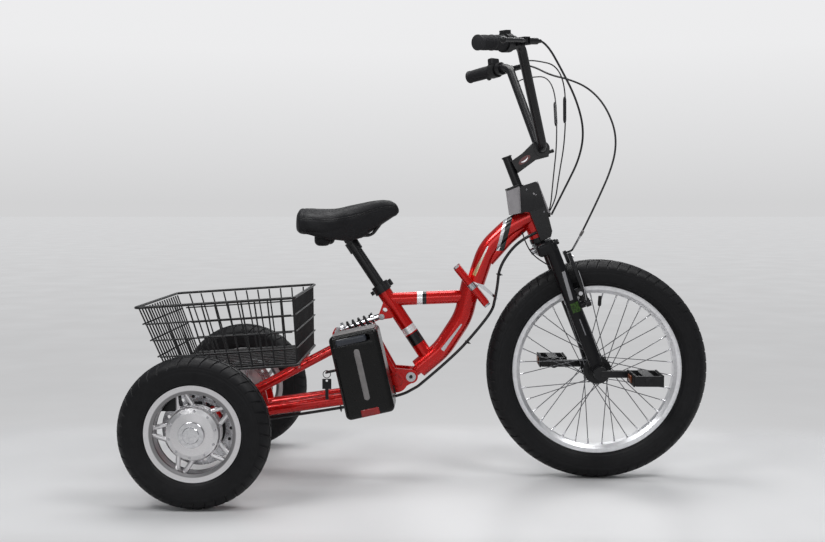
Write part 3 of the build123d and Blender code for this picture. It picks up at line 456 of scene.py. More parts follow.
def make_floor():
    """Pale lit floor round the tricycle; further out it turns into a glowing backdrop with painted shade and
    light: darker just beyond the lit patch, lighter further out.
    """
    mesh = bpy.data.meshes.new("floor")
    size = 60.0
    mesh.from_pydata(
        [(-size, -size, 0), (size, -size, 0), (size, size, 0), (-size, size, 0)], [], [(0, 1, 2, 3)]
    )
    floor = bpy.data.objects.new("floor", mesh)
    bpy.context.scene.collection.objects.link(floor)
    s = Surface("studio_floor", (FLOOR_TONE, FLOOR_TONE, FLOOR_TONE), 0.42, Specular_IOR_Level=0.35)
    wide = s.math("POWER", s.math("ABSOLUTE", s.math("DIVIDE", s.axis((1, 0, 0)), LIT_HALF_LENGTH)), 4)
    deep = s.math("POWER", s.math("ABSOLUTE", s.math("DIVIDE", s.axis((0, 1, 0)), LIT_HALF_WIDTH)), 4)
    reach = s.math("POWER", s.math("ADD", wide, deep), 0.25)
    lit = tone_ramp(s, s.rescale(reach, 0.0, 1.0, 0.86, 1.16), ((0.0, 1.0), (1.0, 0.0)))
    near = s.mix(lit, (0.0, 0.0, 0.0), (FLOOR_TONE, FLOOR_TONE, FLOOR_TONE * 1.01))
    s.feed("Base Color", near)
    # Painted shade and light on the glowing backdrop: a darker band a little beyond the lit patch, growing
    # lighter further out
    far = tone_ramp(
        s, s.math("DIVIDE", s.math("LOGARITHM", s.math("MAXIMUM", reach, 1.0), 2.0), 6.0),
        ((0.0, 0.54), (0.22, 0.51), (0.38, 0.515), (0.55, 0.545), (0.75, 0.578), (1.0, 0.595)),
    )
    glow = s.math("SUBTRACT", 1.0, lit)
    s.feed("Emission Color", far)
    s.feed("Emission Strength", glow)
    s.feed("Roughness", s.rescale(s.noise(3, 2), 0.30, 0.45))
    mesh.materials.append(s.material)


def make_world():
    """Soft white surround; where the camera sees it, a gentle gradient of painted light and shade, darker
    towards the horizon and lighter overhead.
    """
    world = bpy.data.worlds.new("studio")
    world.use_nodes = True
    tree = world.node_tree
    tree.nodes.clear()
    out = tree.nodes.new("ShaderNodeOutputWorld")
    where = tree.nodes.new("ShaderNodeTexCoord")
    split = tree.nodes.new("ShaderNodeSeparateXYZ")
    ramp = tree.nodes.new("ShaderNodeValToRGB")
    tree.links.new(where.outputs["Generated"], split.inputs[0])
    tree.links.new(split.outputs["Z"], ramp.inputs["Fac"])
    stops = ((0.0, 0.645), (0.05, 0.72), (0.14, 0.84), (0.5, 0.92))
    for index, (at, value) in enumerate(stops):
        stop = ramp.color_ramp.elements[index] if index < 2 else ramp.color_ramp.elements.new(at)
        stop.position, stop.color = at, (value, value, value * 1.01, 1)
    seen = tree.nodes.new("ShaderNodeBackground")
    seen.inputs["Strength"].default_value = 1.0
    tree.links.new(ramp.outputs["Color"], seen.inputs["Color"])
    lit = tree.nodes.new("ShaderNodeBackground")
    lit.inputs["Color"].default_value = (0.93, 0.96, 1.0, 1)
    lit.inputs["Strength"].default_value = WORLD_LIGHT
    path = tree.nodes.new("ShaderNodeLightPath")
    mixer = tree.nodes.new("ShaderNodeMixShader")
    tree.links.new(path.outputs["Is Camera Ray"], mixer.inputs["Fac"])
    tree.links.new(lit.outputs[0], mixer.inputs[1])
    tree.links.new(seen.outputs[0], mixer.inputs[2])
    tree.links.new(mixer.outputs[0], out.inputs["Surface"])
    bpy.context.scene.world = world


def soft_light(name, place, aim, width, height, power):
    data = bpy.data.lights.new(name, "AREA")
    data.shape, data.size, data.size_y, data.energy = "RECTANGLE", width, height, power
    light = bpy.data.objects.new(name, data)
    light.location = place
    light.rotation_euler = (Vector(aim) - Vector(place)).to_track_quat("-Z", "Y").to_euler()
    bpy.context.scene.collection.objects.link(light)


make_floor()
make_world()
soft_light("top_left", (-1.6, -1.4, 2.6), (-0.3, 0, 0.4), 1.0, 0.8, 34)
soft_light("top_right", (1.5, -1.2, 2.8), (0.2, 0, 0.5), 1.0, 0.8, 40)
soft_light("over", (0.0, 0.5, 3.0), (0, 0, 0.3), 2.6, 1.2, 62)
soft_light("far_side", (0.6, 3.0, 2.2), (0, 0, 0.5), 2.0, 1.2, 26)
soft_light("camera_side", (-0.3, -3.4, 1.3), (0, 0, 0.4), 2.4, 1.2, 14)
bpy.context.scene.view_settings.view_transform = "Standard"

# -------------------------------------------------------------- mesh helpers
def put(name, mesh, look, body, stands_for=(), sharp=38):
    """Adds a piece that rides on a body; faces are smooth except over sharp edges."""
    mesh.materials.clear()
    mesh.materials.append(MAT[look])
    mesh.shade_smooth()
    mesh.set_sharp_from_angle(angle=radians(sharp))
    piece = bpy.data.objects.new(name, mesh)
    bpy.context.scene.collection.objects.link(piece)
    if body:
        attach(piece, body)
    if stands_for:
        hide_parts(*stands_for)
    return piece


def mesh_of(name, points, faces):
    mesh = bpy.data.meshes.new(name)
    mesh.from_pydata([tuple(p) for p in points], [], faces)
    made = bmesh.new()
    made.from_mesh(mesh)
    bmesh.ops.remove_doubles(made, verts=made.verts, dist=1e-6)
    bmesh.ops.recalc_face_normals(made, faces=made.faces)
    made.to_mesh(mesh)
    made.free()
    return mesh


def joined(name, meshes):
    """Several meshes as one."""
    made = bmesh.new()
    for mesh in meshes:
        made.from_mesh(mesh)
    whole = bpy.data.meshes.new(name)
    made.to_mesh(whole)
    made.free()
    return whole


def grid_faces(rows, columns, wrap_rows=False, wrap_columns=True):
    """Quads between rows of points."""
    faces = []
    for i in range(rows if wrap_rows else rows - 1):
        for j in range(columns if wrap_columns else columns - 1):
            a, b = i * columns, ((i + 1) % rows) * columns
            faces.append((a + j, a + (j + 1) % columns, b + (j + 1) % columns, b + j))
    return faces


def lathe(name, profile, place, segments=32, capped=True):
    """Turns (along, radius) points about the local X axis of a placement; millimetres."""
    points = []
    for along, radius in profile:
        for k in range(segments):
            a = tau * k / segments
            points.append(place @ Vector((along * MM, radius * cos(a) * MM, radius * sin(a) * MM)))
    faces = grid_faces(len(profile), segments)
    if capped:
        last = (len(profile) - 1) * segments
        faces.append(tuple(range(segments)))
        faces.append(tuple(last + k for k in range(segments)))
    return mesh_of(name, points, faces)


def axis_place(start, direction):
    """Placement whose X axis points along a direction, in metres."""
    x = Vector(direction).normalized()
    turn = x.to_track_quat("X", "Z").to_matrix().to_4x4()
    return Matrix.Translation(Vector(start)) @ turn


def bolt(name, start, direction, radius, height, socket=True):
    """Round bolt head with a softened rim and a hexagonal socket, in metres."""
    at = axis_place(start, direction)
    r, h = radius * 1000, height * 1000
    head = lathe(name, [(0, r), (h * 0.75, r), (h, r * 0.86), (h, r * 0.02)], at, 20)
    if not socket:
        return head
    well = lathe(name + "_well", [(h * 0.99, r * 0.52), (h * 1.04, r * 0.50), (h * 1.04, r * 0.01)], at, 6)
    return joined(name, [head, well])


def box_mesh(name, frame_, x, y, z, radius):
    """Box with rounded edges in a local frame; millimetres."""
    made = bmesh.new()
    bmesh.ops.create_cube(made, size=1)
    for vert in made.verts:
        vert.co = Vector([(low + high) / 2 + c * (high - low) for c, (low, high) in zip(vert.co, (x, y, z))])
    bmesh.ops.bevel(made, geom=made.edges[:], offset=radius, segments=3, profile=0.5, affect="EDGES")
    for vert in made.verts:
        vert.co = frame_.at(*vert.co)
    bmesh.ops.recalc_face_normals(made, faces=made.faces)
    mesh = bpy.data.meshes.new(name)
    made.to_mesh(mesh)
    made.free()
    return mesh


def line_mesh(name, points, radius, sides=12, steps=14):
    """Smooth round line through a NURBS route; points in metres, radius in millimetres."""
    data = bpy.data.curves.new(name, "CURVE")
    data.dimensions, data.resolution_u = "3D", steps
    data.bevel_depth, data.bevel_resolution, data.use_fill_caps = radius * MM, sides // 4, True
    spline = data.splines.new("NURBS")
    spline.points.add(len(points) - 1)
    for slot_, point in zip(spline.points, points):
        slot_.co = (*point, 1)
    spline.order_u, spline.use_endpoint_u = 3, True
    scratch = bpy.data.objects.new(name, data)
    mesh = bpy.data.meshes.new_from_object(scratch)
    bpy.data.objects.remove(scratch)
    return mesh


def millimetres(points):
    return [Vector(p) * MM for p in points]


# --------------------------------------------------------------------- tyres
def tyre(name, body, node, x, y, radius, bead, pitches, side_rows):
    """Tyre with a rounded casing, ridged sidewalls and slanted tread blocks."""
    half = [
        (bead - 3, 19.5, 0), (bead + 1, 21.5, 0), (bead + 3.5, 24.5, 0), (bead + 4.5, 26.5, 0),
    ]
    half += side_rows
    crown = radius - 2.9
    for across in (32.2, 31.6, 28.5, 25, 21, 17, 13.4, 12.8, 10.6, 10.0, 6.0, 2.6, 2.1):
        fall = (across / 34.4) ** 2
        tread = 0.0 if across in (32.2, 12.8, 10.6, 2.1) else 1.0
        half.append((crown - 30.0 * (1 - (1 - min(fall, 0.98)) ** 0.5), across, tread))
    rows = half + [(crown, 0.0, 0.0)] + [(r, -across, tread) for r, across, tread in reversed(half)]
    shares = (0.0, 0.04, 0.17, 0.21, 0.46, 0.72)
    points = []
    count = pitches * len(shares)
    for r, across, tread in rows:
        lean = 0.55 * (abs(across) / 32) ** 1.3 * tau / pitches
        shift = (0.5 if across < 0 else 0.0) * tau / pitches
        for k in range(count):
            share = shares[k % len(shares)]
            a = (k // len(shares) + share) * tau / pitches + lean + shift
            groove = k % len(shares) in (1, 2)
            shallow = abs(across) < 10.3
            raised = tread * (0.0 if groove and not shallow else 1.0 if not groove else 0.45)
            reach = (r + 2.9 * raised) * MM
            points.append((x * MM + reach * cos(a), (y + across) * MM, radius * MM + reach * sin(a)))
    mesh = mesh_of(name, points, grid_faces(len(rows), count, wrap_rows=True))
    return put(name, mesh, "tyre", body, [node] if node else (), 24)


def sidewall(start, rim, top):
    """Sidewall rows between the bead and the shoulder, with three raised rings."""
    rows = []
    for share in np.linspace(0.04, 0.96, 24):
        r = start + (top - start) * share
        across = 27.0 + 7.4 * sin(share * pi * 0.62) ** 0.8 - 1.6 * max(0, share - 0.6)
        ring = 0.55 * max(0.0, cos((share - rim) * 34)) if abs(share - rim) < 0.046 else 0.0
        ring += 0.45 if 0.60 < share < 0.64 or 0.82 < share < 0.87 else 0.0
        rows.append((r, min(across, 33.6) + ring, 0))
    return rows


tyre("front_tyre_tread", "front_wheel", "front_tyre", FRONT_AXLE[0], 0, FRONT_AXLE[1], 211, 64,
     sidewall(216, 0.22, 252))
for side_name, side in (("left", 1), ("right", -1)):
    tyre(f"rear_tyre_{side_name}_tread", f"rear_wheel_{side_name}", f"rear_tyre_{side_name}",
         REAR_AXLE[0], side * REAR_HALF_TRACK, REAR_AXLE[1], 109, 40, sidewall(114, 0.22, 153))


# ----------------------------------------------------------- wheel small parts
def front_wheel_parts():
    axle = Vector((FRONT_AXLE[0], 0, FRONT_AXLE[1])) * MM
    nipples, heads = [], []
    for side in (-1, 1):
        for i in range(18):
            hub_angle = radians(20 * i + 5 * side)
            rim_angle = hub_angle + radians(40 if i % 2 else -40)
            inner = axle + Vector((0.0352 * cos(hub_angle), side * 0.026, 0.0352 * sin(hub_angle)))
            outer = axle + Vector((0.1896 * cos(rim_angle), side * 0.004, 0.1896 * sin(rim_angle)))
            way = (outer - inner).normalized()
            place = axis_place(outer - way * 0.013, way)
            nipples.append(lathe("nipple", [(0, 1.3), (0.6, 1.9), (12, 2.1), (13, 2.6)], place, 10))
            heads.append(lathe("head", [(-2, 1.5), (2, 2.0), (3, 1.2)], axis_place(inner, way), 8))
    put("spoke_nipples", joined("spoke_nipples", nipples), "polished", "front_wheel")
    put("spoke_heads", joined("spoke_heads", heads), "spoke", "front_wheel")
    bead = []
    for side in (-1, 1):
        for r, size in ((206.0, 0.5), (193.5, 0.45)):
            ring = [(side * (19.2 if r > 200 else 13.2) + size * cos(t), r + size * sin(t))
                    for t in np.linspace(0, tau, 7)[:-1]]
            at = Matrix.Translation(axle) @ Matrix.Rotation(radians(90), 4, "Z")
            bead.append(ring_mesh("bead", ring, at, 96))
    put("rim_beads", joined("rim_beads", bead), "rim", "front_wheel")
    valve_at = axis_place(axle + Vector((0.009, 0, 0.1895)), (-0.05, 0, -1))
    cap = lathe("valve_cap", [(8, 3.6), (10, 4.4), (29, 4.6), (33, 3.6), (34, 0.2)], valve_at, 16)
    put("valve_cap", cap, "plastic", "front_wheel")


def ring_mesh(name, ring, place, segments):
    """Closed ring section turned about the local X axis."""
    points = []
    for along, radius in ring:
        for k in range(segments):
            a = tau * k / segments
            points.append(place @ Vector((along * MM, radius * cos(a) * MM, radius * sin(a) * MM)))
    return mesh_of(name, points, grid_faces(len(ring), segments, wrap_rows=True))


def rear_wheel_parts(side_name, side):
    body = f"rear_wheel_{side_name}"
    centre = Vector((REAR_AXLE[0], side * REAR_HALF_TRACK, REAR_AXLE[1])) * MM
    out = Vector((0, side, 0))
    bolts = []
    for i in range(10):
        a = tau * i / 10 + 0.2
        around = Vector((cos(a), 0, sin(a)))
        bolts.append(bolt("hub_bolt", centre + around * 0.052 + out * 0.0222, out, 0.0032, 0.0030))
    put(f"hub_bolts_{side_name}", joined("bolts", bolts), "steel", body)
    at = axis_place(centre, out)
    dome = [
        (33.2, 29), (34.3, 28.4), (34.7, 20), (34.7, 19), (36.0, 19), (37.6, 17.6), (38.0, 12), (38.2, 0.2),
    ]
    put(f"hub_dome_{side_name}", lathe("dome", [(31, 29.6)] + dome, at, 48), "polished", body)
    studs = []
    for i in range(10):
        a = radians(35 + 72 * (i // 2)) + (0.33 if i % 2 else -0.33)
        around = Vector((cos(a), 0, sin(a)))
        studs.append(bolt("stud", centre + around * 0.061 + out * 0.006, out, 0.0038, 0.0045))
    put(f"wheel_studs_{side_name}", joined("studs", studs), "steel", body)
    stem_way = Vector((cos(1.9), 0, sin(1.9)))
    valve = lathe(
        "valve", [(0, 3.4), (14, 3.2), (15, 4.2), (24, 4.2), (26, 3.2), (26.5, 0.2)],
        axis_place(centre + stem_way * 0.0905 + out * 0.012, -stem_way * 0.8 + out * 0.45), 14,
    )
    put(f"rear_valve_{side_name}", valve, "plastic", body)


front_wheel_parts()
for side_name, side in (("left", 1), ("right", -1)):
    rear_wheel_parts(side_name, side)


# -------------------------------------------------------------------- saddle
SADDLE = [
    (-318, 74, 613, 660), (-313, 86, 609, 667), (-299, 97, 607, 669.5), (-277, 104, 604, 668.5),
    (-250, 102, 598, 668.5), (-222, 88, 592, 671), (-193, 63, 590, 677.5), (-163, 46, 599, 684),
    (-132, 33, 618, 690), (-106, 25, 636, 691.5), (-88, 19, 648, 687), (-76, 11, 656, 676),
    (-72.5, 4, 661, 668),
]


def smooth_rows(table, count):
    """Rows of a table joined by a smooth curve through each column."""
    table = np.array(table, float)
    x = table[:, 0]
    slopes = np.gradient(table, x, axis=0)
    rows = []
    for t in np.linspace(0, 1, count):
        at = x[0] + (x[-1] - x[0]) * (0.5 - 0.5 * cos(pi * t)) * 0.5 + (x[-1] - x[0]) * t * 0.5
        i = int(min(max(np.searchsorted(x, at) - 1, 0), len(x) - 2))
        h = x[i + 1] - x[i]
        u = (at - x[i]) / h
        rows.append(
            (2 * u**3 - 3 * u**2 + 1) * table[i] + (u**3 - 2 * u**2 + u) * h * slopes[i]
            + (3 * u**2 - 2 * u**3) * table[i + 1] + (u**3 - u**2) * h * slopes[i + 1]
        )
    return rows


def saddle_point(row, a, swell=0.0):
    """Point of the saddle's skin: a turns round the section, 0 on the left, 90 on top."""
    x, half_width, low, high = row
    middle, height = low + (high - low) * 0.46, (high - low)
    across, up = cos(a), sin(a)
    flat = 0.62
    y = (half_width + swell) * np.sign(across) * abs(across) ** flat
    reach = (high - middle if up > 0 else middle - low) + swell
    z = middle + reach * np.sign(up) * abs(up) ** (0.72 if up > 0 else 0.5)
    if up > 0:
        share = y / max(half_width, 1)
        rear = min(max((-205 - x) / 45, 0), 1)
        z -= rear * 7.5 * np.exp(-((y / 17) ** 2)) * up
        z += rear * 1.8 * np.exp(-(((abs(y) - 52) / 26) ** 2)) * up
        nose = min(max((x + 215) / 40, 0), 1) * min(max((-95 - x) / 30, 0), 1)
        z -= nose * 2.6 * np.exp(-((y / 7) ** 2)) * up
        z -= 3.0 * rear * share**4
    return x, y, z


def make_saddle():
    rows = smooth_rows(SADDLE, 90)
    sides = 84
    points = []
    for row in rows:
        for k in range(sides):
            a = tau * k / sides
            x, y, z = saddle_point(row, a)
            lump = noise.noise(Vector((x, y * 1.2, z)) * 0.035) * 0.9
            crease = 0.9 * np.exp(-(((a if a < pi / 2 else pi - a if a < pi else 9) - 0.30) / 0.045) ** 2)
            shrink = 1 - (crease - lump * 0.5) / max(row[1], 12)
            points.append(Vector((x, y * shrink, z - (0.4 * crease if a < pi else 0))) * MM)
    faces = grid_faces(len(rows), sides)
    faces.append(tuple(range(sides)))
    last = (len(rows) - 1) * sides
    faces.append(tuple(last + k for k in range(sides)))
    cushion = put(
        "saddle_cover", mesh_of("saddle_cover", points, faces), "leather", "seat",
        ["saddle_cushion"], 80,
    )
    seams = []
    for side in (0, 1):
        route = []
        for row in rows[2:-2:3]:
            a = 0.30 if side else pi - 0.30
            x, y, z = saddle_point(row, a, -0.3)
            route.append(Vector((x, y, z)) * MM)
        seams.append(line_mesh("seam", route, 0.9, 8, 4))
    put("saddle_piping", joined("saddle_piping", seams), "piping", "seat")
    stitches = []
    for side in (0, 1):
        for row in smooth_rows(SADDLE, 130)[6:-5]:
            a = 0.40 if side else pi - 0.40
            x, y, z = saddle_point(row, a, 0.15)
            ahead = saddle_point((row[0] + 1.6, *row[1:]), a, 0.15)
            stitches.append(
                line_mesh("stitch", millimetres([(x, y, z), ahead]), 0.32, 4, 1)
            )
    put("saddle_stitches", joined("saddle_stitches", stitches), "thread", "seat")


def leather():
    s = Surface("saddle_leather", (0.0062, 0.0062, 0.0072), 0.50, Specular_IOR_Level=0.2)
    s.feed("Base Color", s.tone((0.010, 0.010, 0.0115), 30.0, 4))
    grain = s.math("ADD", s.math("MULTIPLY", s.cells(520), 0.6), s.math("MULTIPLY", s.noise(900, 2), 0.4))
    s.feed("Roughness", s.rescale(s.noise(70, 4), 0.42, 0.60))
    s.bump(grain, 0.0004, 0.6)
    return s.material


MAT["leather"] = leather()
MAT["piping"] = plastic("piping_vinyl", (0.008, 0.008, 0.009), 0.4, 900, 0.0001)
MAT["thread"] = plastic("thread", (0.03, 0.03, 0.033), 0.7, 1500, 0.0002)
NODES["saddle_base"].data.materials[0] = MAT["leather"]
make_saddle()


# --------------------------------------------------------------------- grips
def ribbed(start, end, inner, outer, flange):
    """Grip outline: end rings and a ribbed middle, as (along, radius)."""
    outline = [(start, inner), (start, flange), (start + 2.2, flange), (start + 3.2, outer - 1.2)]
    ribs = int((end - start - 12) / 3.4)
    for i in range(ribs):
        at = start + 5 + i * 3.4
        swell = 0.7 * sin(pi * (i + 0.5) / ribs)
        base = outer - 1.7 + swell
        outline += [(at, base), (at + 0.6, base + 0.9), (at + 1.9, base + 0.9), (at + 2.5, base)]
    outline += [(end - 5, outer - 0.9), (end - 4, flange), (end - 1, flange), (end, flange - 1.4)]
    return [(a, min(r, flange)) for a, r in outline]


L = (Vector((112, -312, 1029)) - Vector((210, -205, 1044))).length
right_grip = lathe("grip", ribbed(104, L + 4, 11.2, 16.9, 17) + [(L + 4, 0.2)], GRIP.matrix(), 48)
left_grip = lathe("grip", ribbed(62.4, L + 4, 11.2, 16.9, 17) + [(L + 4, 0.2)], GRIP_LEFT.matrix(), 48)
put("grip_right", right_grip, "rubber", "steering", ["grips"])
put("grip_left", left_grip, "rubber", "steering", ["grips"])
sleeve = ribbed(62.4, 103.7, 11.3, 17.2, 17.5)
put(
    "throttle_sleeve", lathe("throttle_sleeve", sleeve + [(103.7, 11.3)], GRIP.matrix(), 48, False),
    "rubber", "throttle", ["throttle"],
)


# -------------------------------------------------------------------- cables
exit_right, exit_left = GRIP.at(-28.2, 36.5, 0), GRIP_LEFT.at(-28.2, 36.5, 0)
entry_right = HEAD.at(50.5, -14, 398)
noodle_top = HEAD.at(106.5, 62, 318.5)


def cable(name, points, radius, body=None, between=None, replaces=(), look="cable"):
    piece = put(name, line_mesh(name, points, radius, 16, 20), look, body, replaces, 60)
    if between:
        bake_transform(piece)
    return piece


rear_brake = [
    exit_right,
    *millimetres([
        (272, -191, 1043), (310, -149, 990), (350, -108, 926),
        (373, -75, 857), (366, -52, 792), (336, -32, 725),
    ]),
    entry_right,
]
front_brake = [
    exit_left,
    *millimetres([
        (273, 190, 1042), (314, 150, 1014), (356, 122, 1001), (404, 104, 978), (444, 92, 936),
        (471, 82, 874), (474, 77, 818), (459, 72, 763), (435, 67, 708), (408, 64, 650),
    ]),
    noodle_top,
]
right_wire = millimetres(
    [(227, -166.5, 1007), (234, -159, 1014), (324, -80, 1006), (334, -40, 850), (318, -22, 740),
     (313, -10, 688), (296, -4, 657)]
)
left_wire = millimetres(
    [(234, 171, 1001), (248, 168, 1010), (318, 98, 1006), (322, 34, 850), (308, 14, 728),
     (303, 6, 672), (296, 4, 657)]
)
fork_wire = millimetres([(232, -15, 612), (238, -17, 588), (262, -26, 548), (303, -38, 528)])
turning = ("front_frame", "steering")
cable("rear_brake_hose", rear_brake, 2.5, None, turning, ["bar_cables"])
cable("right_switch_lead", right_wire, 1.6, None, turning, ["bar_cables"])
cable("left_switch_lead", left_wire, 1.6, None, turning, ["bar_cables"])
cable("front_brake_hose", front_brake, 2.5, "steering", replaces=["front_brake_cable"])
cable("fork_lead", fork_wire, 1.6, None, turning, ["bar_cables"])
front_loom = millimetres([
    (266.5, -28, 612), (243, -28, 602), (208, -12, 574), (176, -8, 524), (172, -8, 478), (166, -8, 446),
])
main_loom = millimetres([(165.2, -8, 443), (160, -8, 418), (122, -8, 368), (62, -8, 300), (-25, -8, 227)])
rear_loom = millimetres(
    [(-25, -8, 227), (-36, -9, 221), (-62, -8, 206), (-130, -30, 194), (-215, -38, 176), (-440, -42, 143)]
)
loom = line_mesh("frame_loom", front_loom[:-1] + main_loom, 3.6, 16, 20)
loom_piece = put("frame_loom", loom, "cable", None, ["front_loom", "main_loom"], 60)
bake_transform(loom_piece)
tail = put("arm_loom", line_mesh("arm_loom", rear_loom, 3.6, 16, 20), "cable", None,
           ["rear_loom"], 60)
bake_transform(tail)


def blended_sleeve(name, start, end, radius):
    """Joint sleeve on a lead that bends between the frame and the steering."""
    a, b = Vector(start) * MM, Vector(end) * MM
    length = (b - a).length / MM
    outline = [(0, radius * 0.55), (3, radius * 0.8), (8, radius), (length - 8, radius),
               (length - 3, radius * 0.8), (length, radius * 0.55)]
    piece = put(name, lathe(name, outline, axis_place(a, b - a), 16), "cable", None)
    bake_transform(piece)


blended_sleeve("right_lead_joint", (327.0, -64.0, 937), (329.5, -48.5, 876), 4.0)
blended_sleeve("left_lead_joint", (318.0, 71.5, 937), (319.2, 49.0, 876), 4.0)


def zip_tie(name, centre, along, radius, body, tail_way):
    """Narrow tie round a cable, with its lock and cut tail; millimetres."""
    at = axis_place(Vector(centre) * MM, along)
    band = ring_mesh(name, [(-1.3, radius), (1.3, radius), (1.3, radius + 0.9), (-1.3, radius + 0.9)], at, 32)
    way = Vector(tail_way).normalized()
    base = Vector(centre) * MM + way * (radius + 0.4) * MM
    lock = lathe(name + "_lock", [(0, 2.2), (0.4, 2.6), (3.4, 2.6), (3.8, 2.2)], axis_place(base, way), 4)
    tag = lathe(name + "_tail", [(3, 1.1), (7, 1.0), (7.4, 0.6)], axis_place(base, way), 4)
    put(name, joined(name, [band, lock, tag]), "plastic", body)


zip_tie("tie_head", (173.5, -8.0, 508), (0.05, 0, 1), 4.0, "front_frame", (1, -0.3, -0.2))
zip_tie("tie_arc", (96, -8.0, 339), (0.7, 0, 0.8), 4.0, "main_frame", (1, -0.4, -0.4))
zip_tie("tie_arm", (-215, -38, 178.5), (1, 0, 0.2), 4.0, "swing_arm", (0.1, -0.3, -1))


# --------------------------------------------------------------- shock spring
COIL_START, COIL_LENGTH, COIL_TURNS, COIL_RADIUS = 21.5, 65.0, 4.4, 13.5
coil_points = []
for turn in np.linspace(0, 1, 54):
    a = tau * COIL_TURNS * turn
    coil_points.append(
        SHOCK.at(COIL_START + COIL_LENGTH * turn, COIL_RADIUS * sin(a), -COIL_RADIUS * cos(a))
    )
spring = put(
    "shock_coil", line_mesh("shock_coil", coil_points, 3.2, 12, 4),
    "black", None, ["shock_spring"], 60,
)
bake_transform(spring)


# ---------------------------------------------------------- battery and keys
def pill(name, frame_, x, z, y, radius, thick, look, body):
    """Flat bar with round ends on a side face."""
    points = []
    low_z, high_z = z[0] + radius, z[1] - radius
    mid = (x[0] + x[1]) / 2
    rows = ((y + thick, radius), (y, radius), (y - thick, radius - thick), (y - thick, radius * 0.4))
    for depth, r in rows:
        for k in range(40):
            a = tau * (k + 0.5) / 40
            centre = high_z if sin(a) > 0 else low_z
            points.append(frame_.at(mid + r * cos(a), depth, centre + r * sin(a)))
    faces = grid_faces(len(rows), 40)
    faces.append(tuple(range(3 * 40, 4 * 40)))
    put(name, mesh_of(name, points, faces), look, body, (), 50)


pill("battery_strip", BATTERY, (-7, 7), (-66, 58), -50, 7, 0.8, "strip", "battery")
put("battery_lens", box_mesh("battery_lens", BATTERY, (-22, 22), (-51.2, -44), (-104, -86), 2.5),
    "red_lens", "battery")
put("battery_grip", box_mesh("battery_grip", BATTERY, (-47, 30), (-51.0, -42), (70, 91), 7),
    "blue_grey", "battery")
put("battery_panel", box_mesh("battery_panel", BATTERY, (-54, 44), (-50.3, -44), (46, 72), 2.0),
    "gloss", "battery")
# Painted light: a thin pale grey sheet over the battery's top face stands in for the top lit from above.
put("battery_top_painted_light", box_mesh("battery_top_painted_light", BATTERY, (-50, 52), (-42, 42), (96.5, 98.8), 1.0),
    "strip", "battery")


# -------------------------------------------------------------- front fittings
def head_trim():
    bands = box_mesh("head_box_edge", HEAD, (42.0, 47.5), (-33, 33), (404, 487), 2.0)
    put("head_box_edge", bands, "grey", "front_frame")
    screws = []
    for x, z in ((14, 478), (34, 412)):
        for side in (-1, 1):
            screws.append(bolt("screw", HEAD.at(x, side * 37.6, z), (0, side, 0), 0.0022, 0.0012))
    put("head_box_screws", joined("screws", screws), "spoke", "front_frame")
    marks = []
    for x, z, size in ((27, 462, 2.4), (31, 458, 1.4)):
        for side in (-1, 1):
            at = axis_place(HEAD.at(x, side * 37.9, z), (0, side, 0))
            marks.append(lathe("mark", [(0, size), (0.4, size), (0.5, size * 0.8)], at, 12))
    put("head_box_lights", joined("marks", marks), "grey", "front_frame")
    seam = box_mesh("head_box_joint", HEAD, (3, 42.5), (-38.5, 38.5), (423.2, 425.2), 0.4)
    put("head_box_joint", seam, "plastic", "front_frame")
    rims = [
        box_mesh("rim", HEAD, (-30.5, 2), (-35, 35), (492.0, 497.5), 1.2),
        box_mesh("rim", HEAD, (-20, 1.5), (-35, 35), (427.8, 432), 1.2),
    ]
    put("head_cover_rims", joined("rims", rims), "plastic", "front_frame")


def pivot_trim():
    """Painted shade: flat dark hexagons on the ends of the swing arm's pivot axle stand in for the shade
    inside their hexagon sockets.
    """
    pivot = Vector((ARM_PIVOT[0], 0, ARM_PIVOT[1])) * MM
    corners = [v.co for v in NODES["frame_pins"].data.vertices]
    end = max(abs(c.y) for c in corners if np.hypot(c.x - pivot.x, c.z - pivot.z) < 0.015)
    sockets = []
    for side in (-1, 1):
        at = axis_place(Vector((pivot.x, side * end, pivot.z)), (0, side, 0))
        sockets.append(lathe("socket", [(0, 4.6), (0.25, 4.6), (0.3, 0.2)], at, 6))
    put("pivot_socket_shade", joined("sockets", sockets), "plastic", "main_frame")


def steering_trim():
    parts = [bolt("crown_bolt", HEAD.at(35.8, 0, 330), HEAD.axes[0], 0.0068, 0.0088)]
    put("crown_bolt_cap", joined("crown_bolt", parts), "plastic", "steering")
    badge = []
    for size, height, look in ((1.0, 0.5, "badge"), (0.62, 0.9, "polished")):
        points, faces = [], []
        for k in range(32):
            a = tau * k / 32
            for depth in (0.0, height):
                along, up = 17.0 * cos(a) * size, 7.0 * sin(a) * size
                if look == "polished":
                    up = up * 0.35 - 2.6 + 3.0 * cos(a) ** 2
                points.append(Vector((
                    236 + along * 0.80 - up * 0.60, -(17.0 + depth), 789 + along * 0.60 + up * 0.80
                )) * MM)
        for k in range(32):
            j = (k + 1) % 32
            faces.append((2 * k, 2 * j, 2 * j + 1, 2 * k + 1))
        faces.append(tuple(2 * k + 1 for k in range(32)))
        faces.append(tuple(2 * k for k in range(32)))
        badge.append(put(f"stem_badge_{look}", mesh_of("badge", points, faces), look, "steering"))
    caps = []
    for side in (-1, 1):
        way = Vector((0.92, 0, 0.38))
        caps.append(bolt("stem_bolt", Vector((303.6, side * 12, 810.8)) * MM, way, 0.0048, 0.004))
    put("stem_bolts", joined("stem_bolts", caps), "plastic", "steering")
    cap = [(0, 12.6), (1.5, 12.9), (3, 12.9), (4.2, 11.5), (4.5, 0.2)]
    put("quill_cap", lathe("quill_cap", cap, axis_place(HEAD.at(0, 0, 567.5), HEAD.axes[2]), 28),
        "black", "steering")


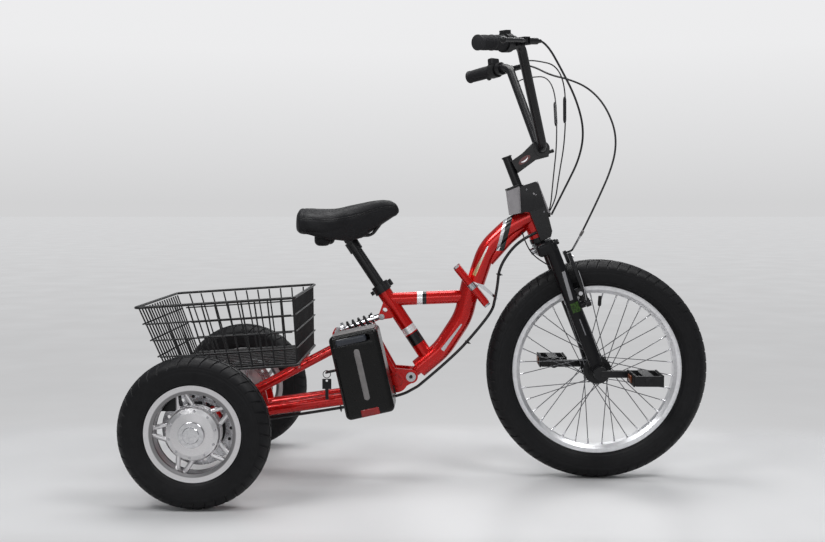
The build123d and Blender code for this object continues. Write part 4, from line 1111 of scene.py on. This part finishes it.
def brake_trim():
    for name, side in (("left", 1), ("right", -1)):
        body = f"rim_brake_{name}"
        parts = [
            bolt("pad_nut", HEAD.at(44, side * 50, 196), (0, side, 0), 0.0058, 0.0085),
            bolt("pivot_bolt", HEAD.at(58.8, side * 50, 168), HEAD.axes[0], 0.0058, 0.0035),
            bolt("clamp_bolt", HEAD.at(56.8, side * 50, 286), HEAD.axes[0], 0.0042, 0.0038),
        ]
        put(f"brake_bolts_{name}", joined("brake_bolts", parts), "polished", body)
        spring = [
            HEAD.at(50, side * 58.5, 176), HEAD.at(58, side * 59.5, 205), HEAD.at(58.6, side * 58.8, 250),
        ]
        put(f"brake_spring_{name}", line_mesh("spring", spring, 0.9, 8, 8), "polished", body)
    pipe_points = [HEAD.at(77, 69.3, 292.6), HEAD.at(92, 65.8, 305.6), HEAD.at(107.5, 61.7, 319.4)]
    put("noodle_pipe", line_mesh("noodle", pipe_points, 2.85, 16, 6), "polished", "rim_brake_left")
    ferrule = axis_place(HEAD.at(106, 62, 318), HEAD.at(124, 57.5, 333.5) - HEAD.at(106, 62, 318))
    put("brake_ferrule", lathe("ferrule", [(0, 3.4), (1, 3.8), (14, 3.8), (15, 3.0)], ferrule, 20),
        "strip", "steering")


def pedal_trim():
    for name, side, way in (("right", -1, 1), ("left", 1, -1)):
        x = FRONT_AXLE[0] + way * 95
        lenses = []
        for end in (-1, 1):
            middle = x + end * 36.3
            lenses.append(box_mesh(
                "lens", Local(0, 0, 0), (middle - 1.5, middle + 1.5),
                tuple(sorted((side * 126.5, side * 163.5))), (FRONT_AXLE[1] - 8, FRONT_AXLE[1] + 8), 1.0,
            ))
        put(f"pedal_reflectors_{name}", joined("lenses", lenses), "orange", f"pedal_{name}")
        cap = axis_place(Vector((x, side * 191.6, FRONT_AXLE[1])) * MM, (0, side, 0))
        put(f"pedal_cap_{name}", lathe("cap", [(0, 9), (1.2, 9), (2.2, 7.5), (2.2, 0.2)], cap, 24),
            "plastic", f"pedal_{name}")
        arm = axis_place(Vector((FRONT_AXLE[0], side * 83.6, FRONT_AXLE[1])) * MM, (0, side, 0))
        crank_cap = lathe("crank_cap", [(0, 10.5), (1.4, 10.5), (2.6, 8.8), (2.6, 0.2)], arm, 28)
        put(f"crank_cap_{name}", crank_cap, "steel", "crankset")


head_trim()
pivot_trim()
steering_trim()
brake_trim()
pedal_trim()
